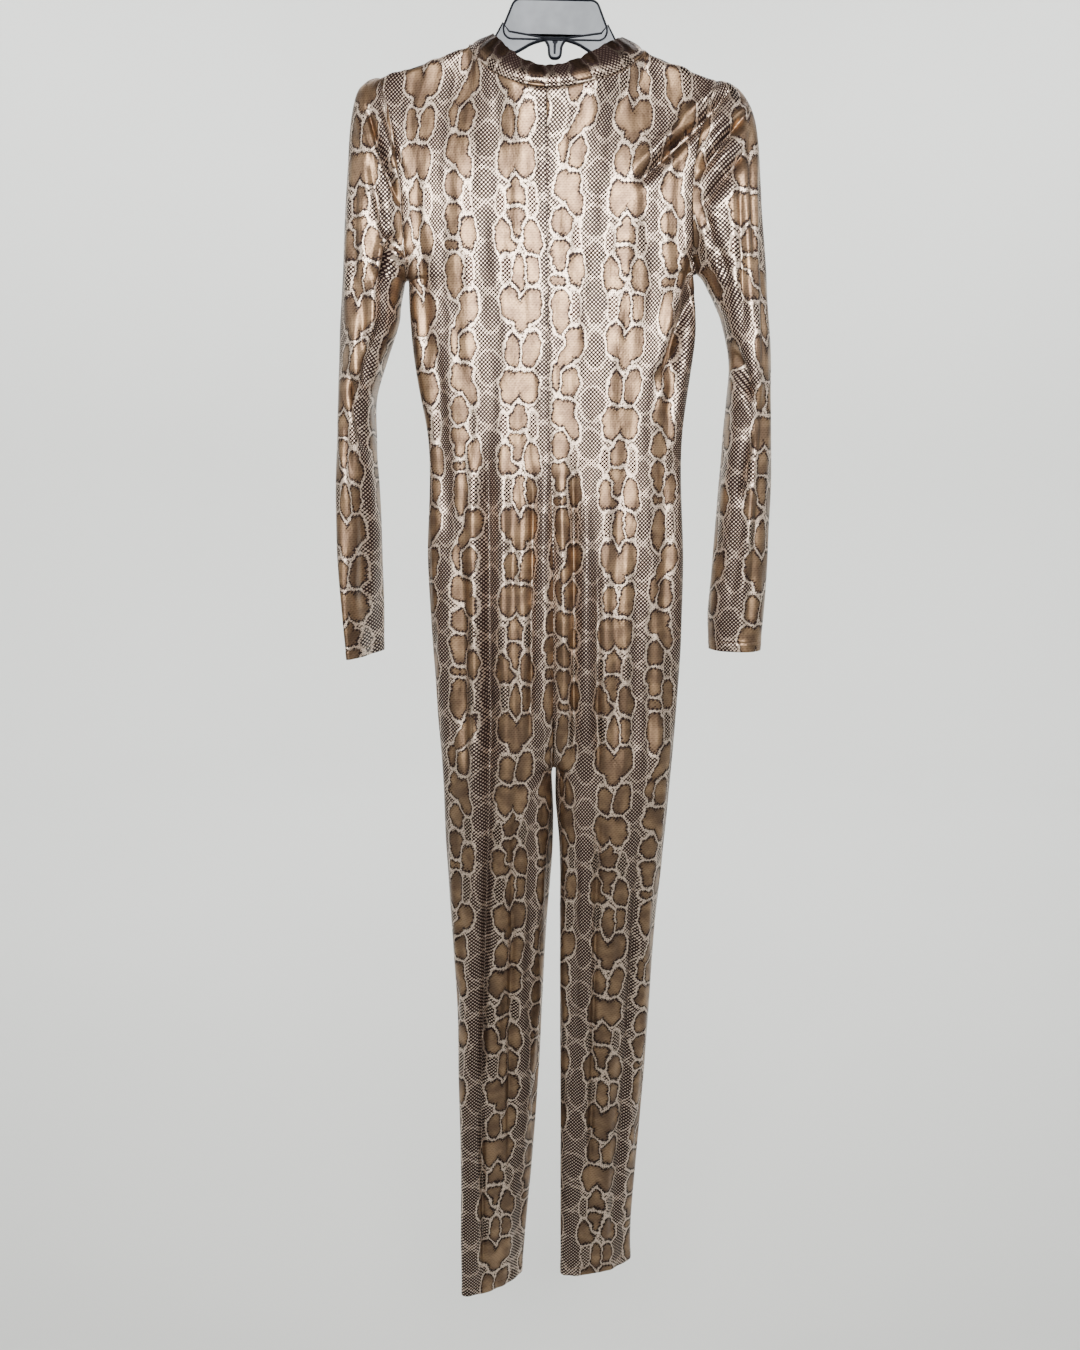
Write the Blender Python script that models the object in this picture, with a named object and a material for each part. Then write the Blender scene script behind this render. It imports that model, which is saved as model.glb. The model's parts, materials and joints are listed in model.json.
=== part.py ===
"""A long-sleeved unitard with a mock neck, hanging on a plastic shirt hanger.

Metres, +Z up, X to the right and Y away from the viewer. The origin is the point at the
top of the hook's inner side, where a rail carries it. Left and right are the wearer's, so
the wearer's right is at -X. The cloth is one thin wall. All its pieces are cut from the
same middle surface, which each function below works out from the sizes and short tables.
"""
import math
from collections import namedtuple

import bmesh
import bpy
import numpy as np
from mathutils import Matrix, Vector

# Cloth and the grid that its panels are worked out on
WALL = 0.0012
SEAM_GAP = 0.0003
COLUMNS = 12
NECK_COLUMNS = 6
ARMHOLE_ROWS = 10
TORSO_ROWS = 16
LEG_ROWS = 20
CROTCH_CURVE_ROWS = 4
BAND_ROWS = 3
TOP_EASE = 1.7

# Heights and depths of the body, and the heights over which one form settles into the next
CHEST_Z = -0.338
CROTCH_Z = -0.884
CROTCH_RISE = 0.075
ARCH_RADIUS = 0.0025
INSEAM_SETTLE = 0.06
SIDE_SETTLE = 0.05
LEAN_SETTLE = 0.10
SHOULDER_RADIUS = 0.0065
YOKE_DROP = 0.13
ARMHOLE_HALF_DEPTH = 0.022
DOME_STARTS_ABOVE_UNDERARM = 0.09
DOME_SETTLE = 0.16

# How square a section is: 2 is an ellipse, more is squarer
TORSO_POWER = 2.4
LEG_POWER = 2.2
NECK_POWER = 0.75

# Drops of the two rows that follow an arch's round top, in its radii
ARCH_DROPS = (0.3, 1.6)

# Rings of a sleeve over which the armhole's own form fades out
SLEEVE_SETTLE_RINGS = 6.0

# A fold fades over this share of its length at both ends, starting a little past them, and
# only where the cloth faces its side by this much
FOLD_FADE = 0.30
FOLD_OVERRUN = 0.12
FOLD_FACING = 0.5

# Neck seam and the rim of the band above it
NECK_SIDE_X = 0.092
FRONT_NECK_DEPTH = 0.036
BACK_NECK_DEPTH = 0.038
FRONT_NECK_DROP = 0.047
BACK_NECK_DROP = 0.040
RIM_HALF_WIDTH = 0.068
RIM_SIDE_Z = -0.1005
FRONT_RIM_DEPTH = 0.029
BACK_RIM_DEPTH = 0.030
FRONT_RIM_DROP = 0.036
BACK_RIM_DROP = 0.024
RIM_POWER = 2.4
BAND_SWELL = 0.0025

# Hanger
HANGER_TILT = math.radians(-1.1)
ARMS_BELOW_RAIL = 0.13
HANGER_THICK = 0.0056
HANGER_BEVEL = 0.0017
PLATE_THICK = 0.0045
ARM_START_X = 0.0625
ARM_START_Z = -0.102
ARM_SLOPE = 0.42
ARM_EASE = 0.529
ARM_REACH = 0.181
ARM_END_RADIUS = 0.0055
ARM_TO_CLOTH = 0.0012
HOOK_WIRE = 0.0034
HOOK_INNER_RADIUS = 0.018
HOOK_TIP_ANGLE = 195
HOOK_TURN_ANGLE = -38
HOOK_BEND_RADIUS = 0.012
HOOK_BEND = 36
STEM_LENGTH = 0.006
STEM_LEAN_TOP = -0.022
STEM_LEAN_HEIGHT = 0.030
PLATE_TOP_Z = -0.065

# Zip slider and its pull tab, in the slider's own frame: across, down the zip, outwards
SLIDER_SIZE = (0.0046, 0.0080, 0.0016)
EAR_THICK = 0.0010
EAR_LENGTH = 0.0026
PIN_RADIUS = 0.0006
PIN_HEIGHT = 0.0032
EYE_RADIUS = 0.0013
EYE_HOLE_RADIUS = 0.0009
EYE_WIDTH = 0.0013
TAB_LENGTH = 0.020
TAB_WIDTH = 0.0044
TAB_THICK = 0.0010
TAB_NECK = 0.0012
SLIDER_FROM_RIM = 0.0075
SLIDER_LIFT = 0.0003
RUNNING_GAP = 0.0003

Side = namedtuple(
    "Side", "name sign shoulder_x underarm_x underarm_z armhole_bow hem_z outline rings"
)
Outline = namedtuple("Outline", "z side inseam lean")
Ring = namedtuple("Ring", "outer_x outer_z inner_x inner_z deep lean")
Depth = namedtuple("Depth", "z front back")
Centre = namedtuple("Centre", "z x")
Fold = namedtuple("Fold", "face x_top z_top x_low z_low depth width")

# Half-depth of the body, in front of and behind the hanging plane
DEPTHS = [
    Depth(-0.150, 0.030, 0.030),
    Depth(-0.250, 0.033, 0.034),
    Depth(-0.340, 0.035, 0.036),
    Depth(-0.550, 0.036, 0.036),
    Depth(-0.750, 0.043, 0.045),
    Depth(-0.884, 0.042, 0.044),
    Depth(-1.000, 0.039, 0.041),
    Depth(-1.200, 0.029, 0.031),
    Depth(-1.400, 0.023, 0.024),
    Depth(-1.580, 0.016, 0.017),
]

# The centre seam, front and back
CENTRE_SEAM = [
    Centre(-0.150, -0.0105),
    Centre(-0.338, -0.0100),
    Centre(-0.425, -0.0092),
    Centre(-0.511, -0.0070),
    Centre(-0.644, -0.0045),
    Centre(-0.884, -0.0040),
]

# Side seam, inseam (read below the crotch) and how far the leg is swung back across its width
RIGHT_OUTLINE = [
    Outline(-0.338, -0.1615, -0.0100, 0.00),
    Outline(-0.425, -0.1560, -0.0092, 0.00),
    Outline(-0.511, -0.1420, -0.0070, 0.00),
    Outline(-0.644, -0.1460, -0.0045, 0.00),
    Outline(-0.782, -0.1400, -0.0040, 0.00),
    Outline(-0.884, -0.1340, -0.0040, 0.02),
    Outline(-0.995, -0.1300, -0.0060, 0.10),
    Outline(-1.078, -0.1257, -0.0125, 0.16),
    Outline(-1.182, -0.1205, -0.0180, 0.24),
    Outline(-1.288, -0.1205, -0.0234, 0.33),
    Outline(-1.397, -0.1192, -0.0310, 0.42),
    Outline(-1.510, -0.1205, -0.0410, 0.52),
    Outline(-1.573, -0.1210, -0.0459, 0.56),
]
LEFT_OUTLINE = [
    Outline(-0.338, 0.1530, -0.0100, 0.00),
    Outline(-0.425, 0.1470, -0.0092, 0.00),
    Outline(-0.511, 0.1380, -0.0070, 0.00),
    Outline(-0.644, 0.1425, -0.0045, 0.00),
    Outline(-0.782, 0.1400, -0.0040, 0.00),
    Outline(-0.884, 0.1340, -0.0040, 0.01),
    Outline(-0.995, 0.1254, 0.0035, 0.05),
    Outline(-1.078, 0.1184, 0.0036, 0.09),
    Outline(-1.182, 0.1134, 0.0040, 0.13),
    Outline(-1.288, 0.1076, 0.0043, 0.18),
    Outline(-1.397, 0.1005, 0.0044, 0.23),
    Outline(-1.510, 0.0945, 0.0045, 0.29),
    Outline(-1.547, 0.0950, 0.0045, 0.31),
]

# Sleeve sections from the armhole to the cuff: where each one's outer and inner ends lie
RIGHT_RINGS = [
    Ring(-0.1860, -0.1400, -0.1625, -0.3410, 0.022, 0.00),
    Ring(-0.1985, -0.1440, -0.1640, -0.3414, 0.025, 0.00),
    Ring(-0.2090, -0.1560, -0.1655, -0.3424, 0.029, 0.00),
    Ring(-0.2150, -0.1830, -0.1668, -0.3455, 0.032, 0.00),
    Ring(-0.2200, -0.2250, -0.1680, -0.3510, 0.035, 0.00),
    Ring(-0.2250, -0.2750, -0.1695, -0.3580, 0.038, 0.00),
    Ring(-0.2300, -0.3280, -0.1715, -0.3690, 0.040, 0.00),
    Ring(-0.2345, -0.3830, -0.1740, -0.3880, 0.041, 0.00),
    Ring(-0.2370, -0.4250, -0.1880, -0.4280, 0.041, 0.00),
    Ring(-0.2400, -0.4670, -0.2010, -0.4670, 0.040, 0.10),
    Ring(-0.2420, -0.5110, -0.2020, -0.5110, 0.038, 0.30),
    Ring(-0.2440, -0.5600, -0.2010, -0.5600, 0.034, 0.60),
    Ring(-0.2440, -0.6100, -0.2005, -0.6100, 0.029, 0.95),
    Ring(-0.2425, -0.6600, -0.2020, -0.6600, 0.024, 1.35),
    Ring(-0.2390, -0.7100, -0.2040, -0.7100, 0.019, 1.80),
    Ring(-0.2355, -0.7520, -0.2058, -0.7520, 0.015, 2.25),
]
LEFT_RINGS = [
    Ring(0.1680, -0.1420, 0.1500, -0.3350, 0.022, 0.00),
    Ring(0.1835, -0.1462, 0.1518, -0.3354, 0.025, 0.00),
    Ring(0.1975, -0.1580, 0.1536, -0.3364, 0.028, 0.00),
    Ring(0.2080, -0.1810, 0.1556, -0.3385, 0.031, 0.00),
    Ring(0.2145, -0.2200, 0.1590, -0.3430, 0.034, 0.00),
    Ring(0.2195, -0.2700, 0.1640, -0.3520, 0.036, 0.00),
    Ring(0.2245, -0.3250, 0.1715, -0.3650, 0.038, 0.00),
    Ring(0.2295, -0.3830, 0.1800, -0.3850, 0.039, 0.00),
    Ring(0.2325, -0.4250, 0.1890, -0.4260, 0.039, 0.00),
    Ring(0.2340, -0.4670, 0.1880, -0.4670, 0.038, 0.00),
    Ring(0.2360, -0.5110, 0.1850, -0.5110, 0.037, 0.00),
    Ring(0.2370, -0.5600, 0.1818, -0.5600, 0.035, 0.00),
    Ring(0.2370, -0.6100, 0.1795, -0.6100, 0.033, 0.00),
    Ring(0.2370, -0.6600, 0.1770, -0.6600, 0.031, 0.00),
    Ring(0.2360, -0.7050, 0.1745, -0.7050, 0.030, 0.00),
    Ring(0.2330, -0.7450, 0.1762, -0.7450, 0.0285, 0.00),
]

RIGHT = Side("right", -1, -0.186, -0.1625, -0.341, 0.000, -1.573, RIGHT_OUTLINE, RIGHT_RINGS)
LEFT = Side("left", 1, 0.168, 0.150, -0.335, 0.009, -1.547, LEFT_OUTLINE, LEFT_RINGS)

# Troughs pressed into the cloth along straight lines; face -1 is the front, 1 the back
FOLDS = [
    Fold(-1, 0.1760, -0.1580, 0.0863, -0.2467, 0.0070, 0.011),
    Fold(-1, 0.1934, -0.1812, 0.1485, -0.2370, 0.0045, 0.009),
    Fold(-1, 0.1960, -0.2176, 0.1500, -0.2712, 0.0040, 0.009),
    Fold(-1, 0.1482, -0.3559, 0.1139, -0.4481, 0.0065, 0.010),
    Fold(-1, 0.1880, -0.4125, 0.2080, -0.4693, 0.0050, 0.010),
    Fold(-1, 0.2116, -0.5112, 0.1990, -0.5755, 0.0040, 0.009),
    Fold(-1, -0.1963, -0.1773, -0.1659, -0.2663, 0.0045, 0.008),
    Fold(-1, -0.1720, -0.3008, -0.1850, -0.3458, 0.0060, 0.010),
    Fold(-1, -0.2230, -0.4400, -0.2100, -0.5200, 0.0040, 0.009),
    Fold(-1, -0.0756, -0.5272, -0.0780, -0.9151, 0.0070, 0.011),
    Fold(-1, -0.0780, -0.9160, -0.0923, -1.2950, 0.0060, 0.010),
    Fold(-1, -0.0923, -1.2960, -0.0914, -1.5415, 0.0040, 0.009),
    Fold(-1, -0.0260, -0.5538, -0.0307, -0.8400, 0.0045, 0.009),
    Fold(-1, 0.0175, -0.5538, 0.0194, -0.8600, 0.0050, 0.009),
    Fold(-1, 0.0440, -0.6404, 0.0468, -0.8913, 0.0035, 0.009),
    Fold(-1, 0.0881, -0.6406, 0.0884, -0.9157, 0.0035, 0.010),
    Fold(-1, -0.1052, -0.6411, -0.1047, -0.8937, 0.0030, 0.010),
    Fold(-1, -0.0485, -0.9176, -0.0606, -1.4069, 0.0030, 0.010),
    Fold(-1, 0.0473, -0.9176, 0.0410, -1.4346, 0.0040, 0.011),
    Fold(-1, 0.0969, -0.9450, 0.0786, -1.4140, 0.0030, 0.010),
    Fold(1, -0.0450, -0.3300, -0.0700, -0.5600, 0.0040, 0.014),
    Fold(1, 0.0800, -0.4800, 0.0720, -0.8600, 0.0060, 0.012),
    Fold(1, 0.0350, -0.6000, 0.0300, -0.8700, 0.0045, 0.010),
    Fold(1, -0.0380, -0.5800, -0.0420, -0.8800, 0.0050, 0.011),
    Fold(1, -0.0900, -0.6200, -0.0860, -0.9200, 0.0040, 0.011),
    Fold(1, 0.0650, -0.9200, 0.0550, -1.3800, 0.0045, 0.011),
    Fold(1, -0.0700, -0.9300, -0.0840, -1.4200, 0.0045, 0.010),
    Fold(1, 0.1850, -0.1900, 0.1350, -0.2700, 0.0050, 0.011),
    Fold(1, -0.1950, -0.1850, -0.1500, -0.2650, 0.0050, 0.010),
    Fold(1, 0.2080, -0.4300, 0.2180, -0.5200, 0.0040, 0.010),
    Fold(1, -0.2180, -0.4300, -0.2250, -0.5300, 0.0040, 0.010),
]

CLOTH_COLOUR = (0.42, 0.30, 0.19, 1.0)
PLASTIC_COLOUR = (0.12, 0.13, 0.15, 1.0)
STEEL_COLOUR = (0.62, 0.62, 0.64, 1.0)
BRASS_COLOUR = (0.40, 0.29, 0.16, 1.0)


def smooth_step(x):
    """0 below 0, 1 above 1, and level at both ends."""
    x = np.clip(x, 0.0, 1.0)
    return x * x * (3.0 - 2.0 * x)


def through(rows, column, z):
    """The cubic curve through a table's rows, read at heights z."""
    zs = np.array([row.z for row in rows])[::-1]
    values = np.array([getattr(row, column) for row in rows])[::-1]
    slopes = np.gradient(values, zs)
    z = np.clip(z, zs[0], zs[-1])
    k = np.clip(np.searchsorted(zs, z) - 1, 0, len(zs) - 2)
    span = zs[k + 1] - zs[k]
    t = (z - zs[k]) / span
    return (
        values[k] * (1 + 2 * t) * (1 - t) ** 2
        + values[k + 1] * t * t * (3 - 2 * t)
        + span * (slopes[k] * t * (1 - t) ** 2 - slopes[k + 1] * t * t * (1 - t))
    )


def arch(drop):
    """How far a round arch has opened at a drop below its top."""
    left = 1.0 - np.clip(drop / ARCH_RADIUS, 0.0, 1.0)
    return ARCH_RADIUS * np.sqrt(1.0 - left * left)


def arm_level(reach):
    """Height of the level hanger's arm top at a reach from its middle: a slope that eases."""
    past = np.maximum(reach - ARM_START_X, 0.0)
    return ARM_START_Z - ARM_SLOPE * past + ARM_EASE * past * past


def arm_top(x):
    """Height of the tilted hanger's arms at x."""
    swung = x + ARMS_BELOW_RAIL * math.sin(-HANGER_TILT)
    return arm_level(np.abs(swung)) + x * math.tan(HANGER_TILT)


def shoulder_line(x):
    """Middle of the cloth's wall where it lies over the arms."""
    return arm_top(x) + ARM_TO_CLOTH + WALL / 2


def row_fractions(side):
    """Where each column crosses each row, from 0 at the inner edge to 1 at the outer one."""
    v = np.arange(COLUMNS + 1) / COLUMNS
    rows = np.arange(ARMHOLE_ROWS + TORSO_ROWS + LEG_ROWS + 1)
    centre = CENTRE_SEAM[0].x
    neck = (side.sign * NECK_SIDE_X - centre) / (side.shoulder_x - centre)
    on_neck = np.arange(COLUMNS + 1) <= NECK_COLUMNS
    round_neck = neck * np.sin(math.pi / 2 * np.minimum(v * COLUMNS / NECK_COLUMNS, 1.0))
    along_shoulder = neck + (1 - neck) * (v * COLUMNS - NECK_COLUMNS) / (COLUMNS - NECK_COLUMNS)
    top = np.where(on_neck, round_neck, along_shoulder)
    lower = 0.5 * v + 0.25 * (1 - np.cos(math.pi * v))
    blend = smooth_step(rows / ARMHOLE_ROWS)[:, None]
    return top * (1 - blend) + lower * blend


def top_edge(side, face, u):
    """Height and depth of the neck seam and shoulder seam at each fraction of the top row."""
    centre = CENTRE_SEAM[0].x
    x = centre + (side.shoulder_x - centre) * u
    across = np.clip((x - centre) / (side.sign * NECK_SIDE_X - centre), 0.0, 1.0)
    drop = FRONT_NECK_DROP if face < 0 else BACK_NECK_DROP
    depth = FRONT_NECK_DEPTH if face < 0 else BACK_NECK_DEPTH
    side_z = shoulder_line(side.sign * NECK_SIDE_X)
    # Both halves of the neck seam meet at one height at the centre
    middle_z = (shoulder_line(-NECK_SIDE_X) + shoulder_line(NECK_SIDE_X)) / 2 - drop
    round_part = 1 - across * across
    neck_z = side_z + (middle_z - side_z) * round_part ** NECK_POWER
    z = np.where(across < 1.0, neck_z, shoulder_line(x))
    return z, depth * np.sqrt(round_part)


def row_heights(side, top_z, u):
    """Heights of all points: close together at the underarm's and the crotch's arches."""
    arm, crotch = ARMHOLE_ROWS, ARMHOLE_ROWS + TORSO_ROWS
    last = crotch + LEG_ROWS
    rows = np.arange(last + 1.0)
    even = np.interp(rows, [arm, crotch, last], [CHEST_Z, CROTCH_Z, side.hem_z])
    first, second = (drop * ARCH_RADIUS for drop in ARCH_DROPS)
    outer = np.interp(
        rows,
        [arm, arm + 1, arm + 2, crotch, last],
        [side.underarm_z, side.underarm_z - first, side.underarm_z - second, CROTCH_Z, side.hem_z],
    )
    curve_start = crotch - CROTCH_CURVE_ROWS
    turn = np.clip((rows - curve_start) / CROTCH_CURVE_ROWS, 0.0, 1.0) * math.pi / 2
    inner = np.interp(rows, [arm, curve_start], [CHEST_Z, CROTCH_Z + CROTCH_RISE])
    inner = np.where(rows > curve_start, CROTCH_Z + CROTCH_RISE * (1 - np.sin(turn)), inner)
    below = np.interp(
        rows,
        [crotch, crotch + 1, crotch + 2, last],
        [CROTCH_Z, CROTCH_Z - first, CROTCH_Z - second, side.hem_z],
    )
    inner = np.where(rows > crotch, below, inner)
    z = (
        even[:, None]
        + (inner - even)[:, None] * (1 - u) ** 3
        + (outer - even)[:, None] * u ** 3
    )
    # Above the underarm the rows run from the top edge, round the armhole at the outer side
    part = np.clip(rows / arm, 0.0, 1.0)[:, None]
    round_part = (1 - np.cos(math.pi * part)) / 2
    close_top = part ** TOP_EASE
    share = close_top + (round_part - close_top) * u ** 3
    chest = CHEST_Z + (side.underarm_z - CHEST_Z) * u
    return np.where(rows[:, None] <= arm, top_z + (chest - top_z) * share, z)


def down_armhole(side, z):
    """How far a height is down the armhole, from 0 at the shoulder to 1 at the underarm."""
    top = shoulder_line(side.shoulder_x)
    return np.clip((top - z) / (top - side.underarm_z), 0.0, 1.0)


def outer_edge(side, z):
    """X of the armhole seam, and below the underarm of the side seam."""
    part = down_armhole(side, z)
    armhole = side.underarm_x + (side.shoulder_x - side.underarm_x) * (1 - part) ** 3
    armhole = armhole - side.sign * side.armhole_bow * 4 * part * (1 - part)
    seam = through(side.outline, "side", z)
    start = side.underarm_x - side.sign * arch(side.underarm_z - z)
    settle = smooth_step((side.underarm_z - z) / SIDE_SETTLE)
    seam = start + (seam - start) * settle
    return np.where(z >= side.underarm_z, armhole, seam)


def inner_edge(side, z):
    """X of the centre seam, and below the crotch of the inseam."""
    start = CENTRE_SEAM[-1].x + side.sign * arch(CROTCH_Z - z)
    settle = smooth_step((CROTCH_Z - z) / INSEAM_SETTLE)
    below = start + (through(side.outline, "inseam", z) - start) * settle
    return np.where(z >= CROTCH_Z, through(CENTRE_SEAM, "x", z), below)


def panel_points(side, face):
    """Middle surface of one body panel, rows from the shoulder to the ankle.

    A section is a flat dome across half the torso. Towards the crotch its inner edge goes
    in and under, and below the crotch it is half of an oval round the leg.
    """
    u = row_fractions(side)
    centre = CENTRE_SEAM[0].x
    top_z, top_y = top_edge(side, face, u[0])
    z = row_heights(side, top_z, u)
    x_in = inner_edge(side, z)
    x_out = outer_edge(side, z)
    x = x_in + (x_out - x_in) * u
    # The top row keeps the neck seam's and the shoulder seam's own places
    x[0] = centre + (side.shoulder_x - centre) * u[0]

    full = through(DEPTHS, "front" if face < 0 else "back", z)
    part = np.clip((top_z - z) / (top_z - side.underarm_z), 0.0, 1.0)
    armhole_y = ARMHOLE_HALF_DEPTH * 2 * np.sqrt(part * (1 - part))
    gentle = 1 - u * u
    dome = (1 - u ** TORSO_POWER) ** (1 / TORSO_POWER)
    oval = (1 - np.abs(2 * u - 1) ** LEG_POWER) ** (1 / LEG_POWER)
    closing = smooth_step((side.underarm_z + DOME_STARTS_ABOVE_UNDERARM - z) / DOME_SETTLE)
    torso = gentle + (dome - gentle) * closing
    climb = np.clip((z - CROTCH_Z) / CROTCH_RISE, 0.0, 1.0)
    as_torso = np.sqrt(1 - (1 - climb) ** 2)
    shape = oval + (torso - oval) * as_torso
    section = armhole_y + (full - armhole_y) * shape

    drop = np.maximum(top_z - z, 0.0)
    left = 1 - np.clip(drop / SHOULDER_RADIUS, 0.0, 1.0)
    rounding = SHOULDER_RADIUS * np.sqrt(1 - left * left)
    yoke = np.hypot(top_y, rounding)
    yoke = yoke + (armhole_y - yoke) * u ** 4
    depth = yoke + (section - yoke) * smooth_step(drop / YOKE_DROP)
    middle = (x_in + x_out) / 2
    lean = through(side.outline, "lean", z) * smooth_step((CROTCH_Z - z) / LEAN_SETTLE)
    y = face * depth + lean * (x - middle)
    return np.stack([x, y, z], axis=-1)


def sleeve_points(side, front, back):
    """Middle surface of a sleeve: its first ring is the armhole, its last the cuff."""
    arm = ARMHOLE_ROWS
    armhole = np.concatenate([front[: arm + 1, -1], back[arm - 1 : 0 : -1, -1]])
    angle = math.pi * np.arange(2 * arm) / arm
    rings = np.array(side.rings)
    outer, inner = rings[:, [0, 1]], rings[:, [2, 3]]
    half = (outer - inner)[:, None, :] / 2 * np.cos(angle)[None, :, None]
    place = (outer + inner)[:, None, :] / 2 + half
    y = -rings[:, 4:5] * np.sin(angle) + rings[:, 5:6] * half[..., 0]
    points = np.stack([place[..., 0], y, place[..., 1]], axis=-1)
    fade = (1 - smooth_step(np.arange(len(rings)) / SLEEVE_SETTLE_RINGS))[:, None, None]
    return points + (armhole - points[0]) * fade


def band_points(panels):
    """Middle surface of the neck band, from the neck seam up to its rim."""
    right_front, left_front, right_back, left_back = panels
    n = NECK_COLUMNS
    seam = np.concatenate([
        right_back[0, : n + 1],
        right_front[0, n - 1 :: -1],
        left_front[0, 1 : n + 1],
        left_back[0, n - 1 :: -1],
    ])
    quarter = math.pi / 2 / n
    angle = np.arange(len(seam)) * quarter - math.pi
    across, along = np.sin(angle), -np.cos(angle)
    front = along < 0
    depth = np.where(front, FRONT_RIM_DEPTH, BACK_RIM_DEPTH)
    drop = np.where(front, FRONT_RIM_DROP, BACK_RIM_DROP)
    centre = right_front[0, 0, 0] * (1 - across * across)
    tilted = across * NECK_SIDE_X * math.tan(HANGER_TILT)
    rim = np.stack([
        centre + RIM_HALF_WIDTH * across,
        depth * along,
        RIM_SIDE_Z + tilted - drop * np.abs(along) ** RIM_POWER,
    ], axis=-1)
    share = (np.arange(BAND_ROWS + 1) / BAND_ROWS)[:, None, None]
    outwards = np.stack([across, along, 0 * across], axis=-1)
    return seam + (rim - seam) * share + outwards * BAND_SWELL * np.sin(math.pi * share)


def grid_normals(grids):
    """Unit normals of several grids, shared where their points meet.

    A grid is its points, whether its columns close into a ring, and the side that faces out.
    """
    places, pushes = [], []
    for points, closed, outward in grids:
        ring = np.concatenate([points, points[:, :1]], axis=1) if closed else points
        a, b = ring[:-1, :-1], ring[:-1, 1:]
        c, d = ring[1:, 1:], ring[1:, :-1]
        face = np.cross(c - a, d - b) * outward
        for corner in (a, b, c, d):
            places.append(corner.reshape(-1, 3))
            pushes.append(face.reshape(-1, 3))
    places = np.concatenate(places)
    keys, index = np.unique(np.round(places, 6), axis=0, return_inverse=True)
    index = index.reshape(-1)
    total = np.zeros((len(keys), 3))
    np.add.at(total, index, np.concatenate(pushes))
    total /= np.maximum(np.linalg.norm(total, axis=1, keepdims=True), 1e-12)
    lookup = {tuple(key): normal for key, normal in zip(keys, total)}
    normals = []
    for points, closed, outward in grids:
        found = [lookup[tuple(place)] for place in np.round(points, 6).reshape(-1, 3)]
        normals.append(np.array(found).reshape(points.shape))
    return normals


def press_folds(points, normals):
    """Moves points inwards along each fold's line, most in its middle and not past its ends."""
    x, y, z = points[..., 0], points[..., 1], points[..., 2]
    move = np.zeros(x.shape)
    for fold in FOLDS:
        line = np.array([fold.x_low - fold.x_top, fold.z_low - fold.z_top])
        length = np.hypot(*line)
        along = ((x - fold.x_top) * line[0] + (z - fold.z_top) * line[1]) / length ** 2
        aside = ((x - fold.x_top) * line[1] - (z - fold.z_top) * line[0]) / length
        start = smooth_step((along + FOLD_OVERRUN) / FOLD_FADE)
        ends = start * smooth_step((1 + FOLD_OVERRUN - along) / FOLD_FADE)
        facing = smooth_step(normals[..., 1] * fold.face / FOLD_FACING)
        move -= fold.depth * np.exp(-((aside / fold.width) ** 2)) * ends * facing
    return points + normals * move[..., None]


def open_seams(points, normals, closed, corners):
    """Draws a grid's edges in by half a seam gap, square to each edge."""
    moved = points.copy()

    def draw_in(edge, inside, normal, weight):
        step = np.empty_like(edge)
        step[1:-1] = edge[2:] - edge[:-2]
        step[0], step[-1] = edge[1] - edge[0], edge[-1] - edge[-2]
        if closed:
            step[0] = step[-1] = edge[1] - edge[-1]
        way = np.cross(normal, step)
        way /= np.linalg.norm(way, axis=1, keepdims=True)
        way *= np.sign(np.sum(way * (inside - edge), axis=1, keepdims=True))
        return way * (SEAM_GAP / 2) * weight[:, None]

    rows, columns = points.shape[:2]
    across = np.ones(columns)
    down = np.ones(rows)
    across[corners["top"]] = math.sqrt(2)
    moved[0] += draw_in(points[0], points[1], normals[0], across)
    moved[-1] += draw_in(points[-1], points[-2], normals[-1], np.ones(columns))
    if not closed:
        inner, outer = down.copy(), down.copy()
        inner[corners["inner"]] = math.sqrt(2)
        outer[corners["outer"]] = math.sqrt(2)
        moved[:, 0] += draw_in(points[:, 0], points[:, 1], normals[:, 0], inner)
        moved[:, -1] += draw_in(points[:, -1], points[:, -2], normals[:, -1], outer)
    return moved


def material(name, colour, roughness, metallic):
    """A Principled material."""
    made = bpy.data.materials.new(name)
    made.use_nodes = True
    shader = made.node_tree.nodes["Principled BSDF"]
    shader.inputs["Base Color"].default_value = colour
    shader.inputs["Roughness"].default_value = roughness
    shader.inputs["Metallic"].default_value = metallic
    return made


def add_object(name, mesh, finish):
    """Links a mesh to the scene under its piece's name."""
    piece = bpy.data.objects.new(name, mesh)
    piece.data.materials.append(finish)
    bpy.context.scene.collection.objects.link(piece)
    return piece


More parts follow.
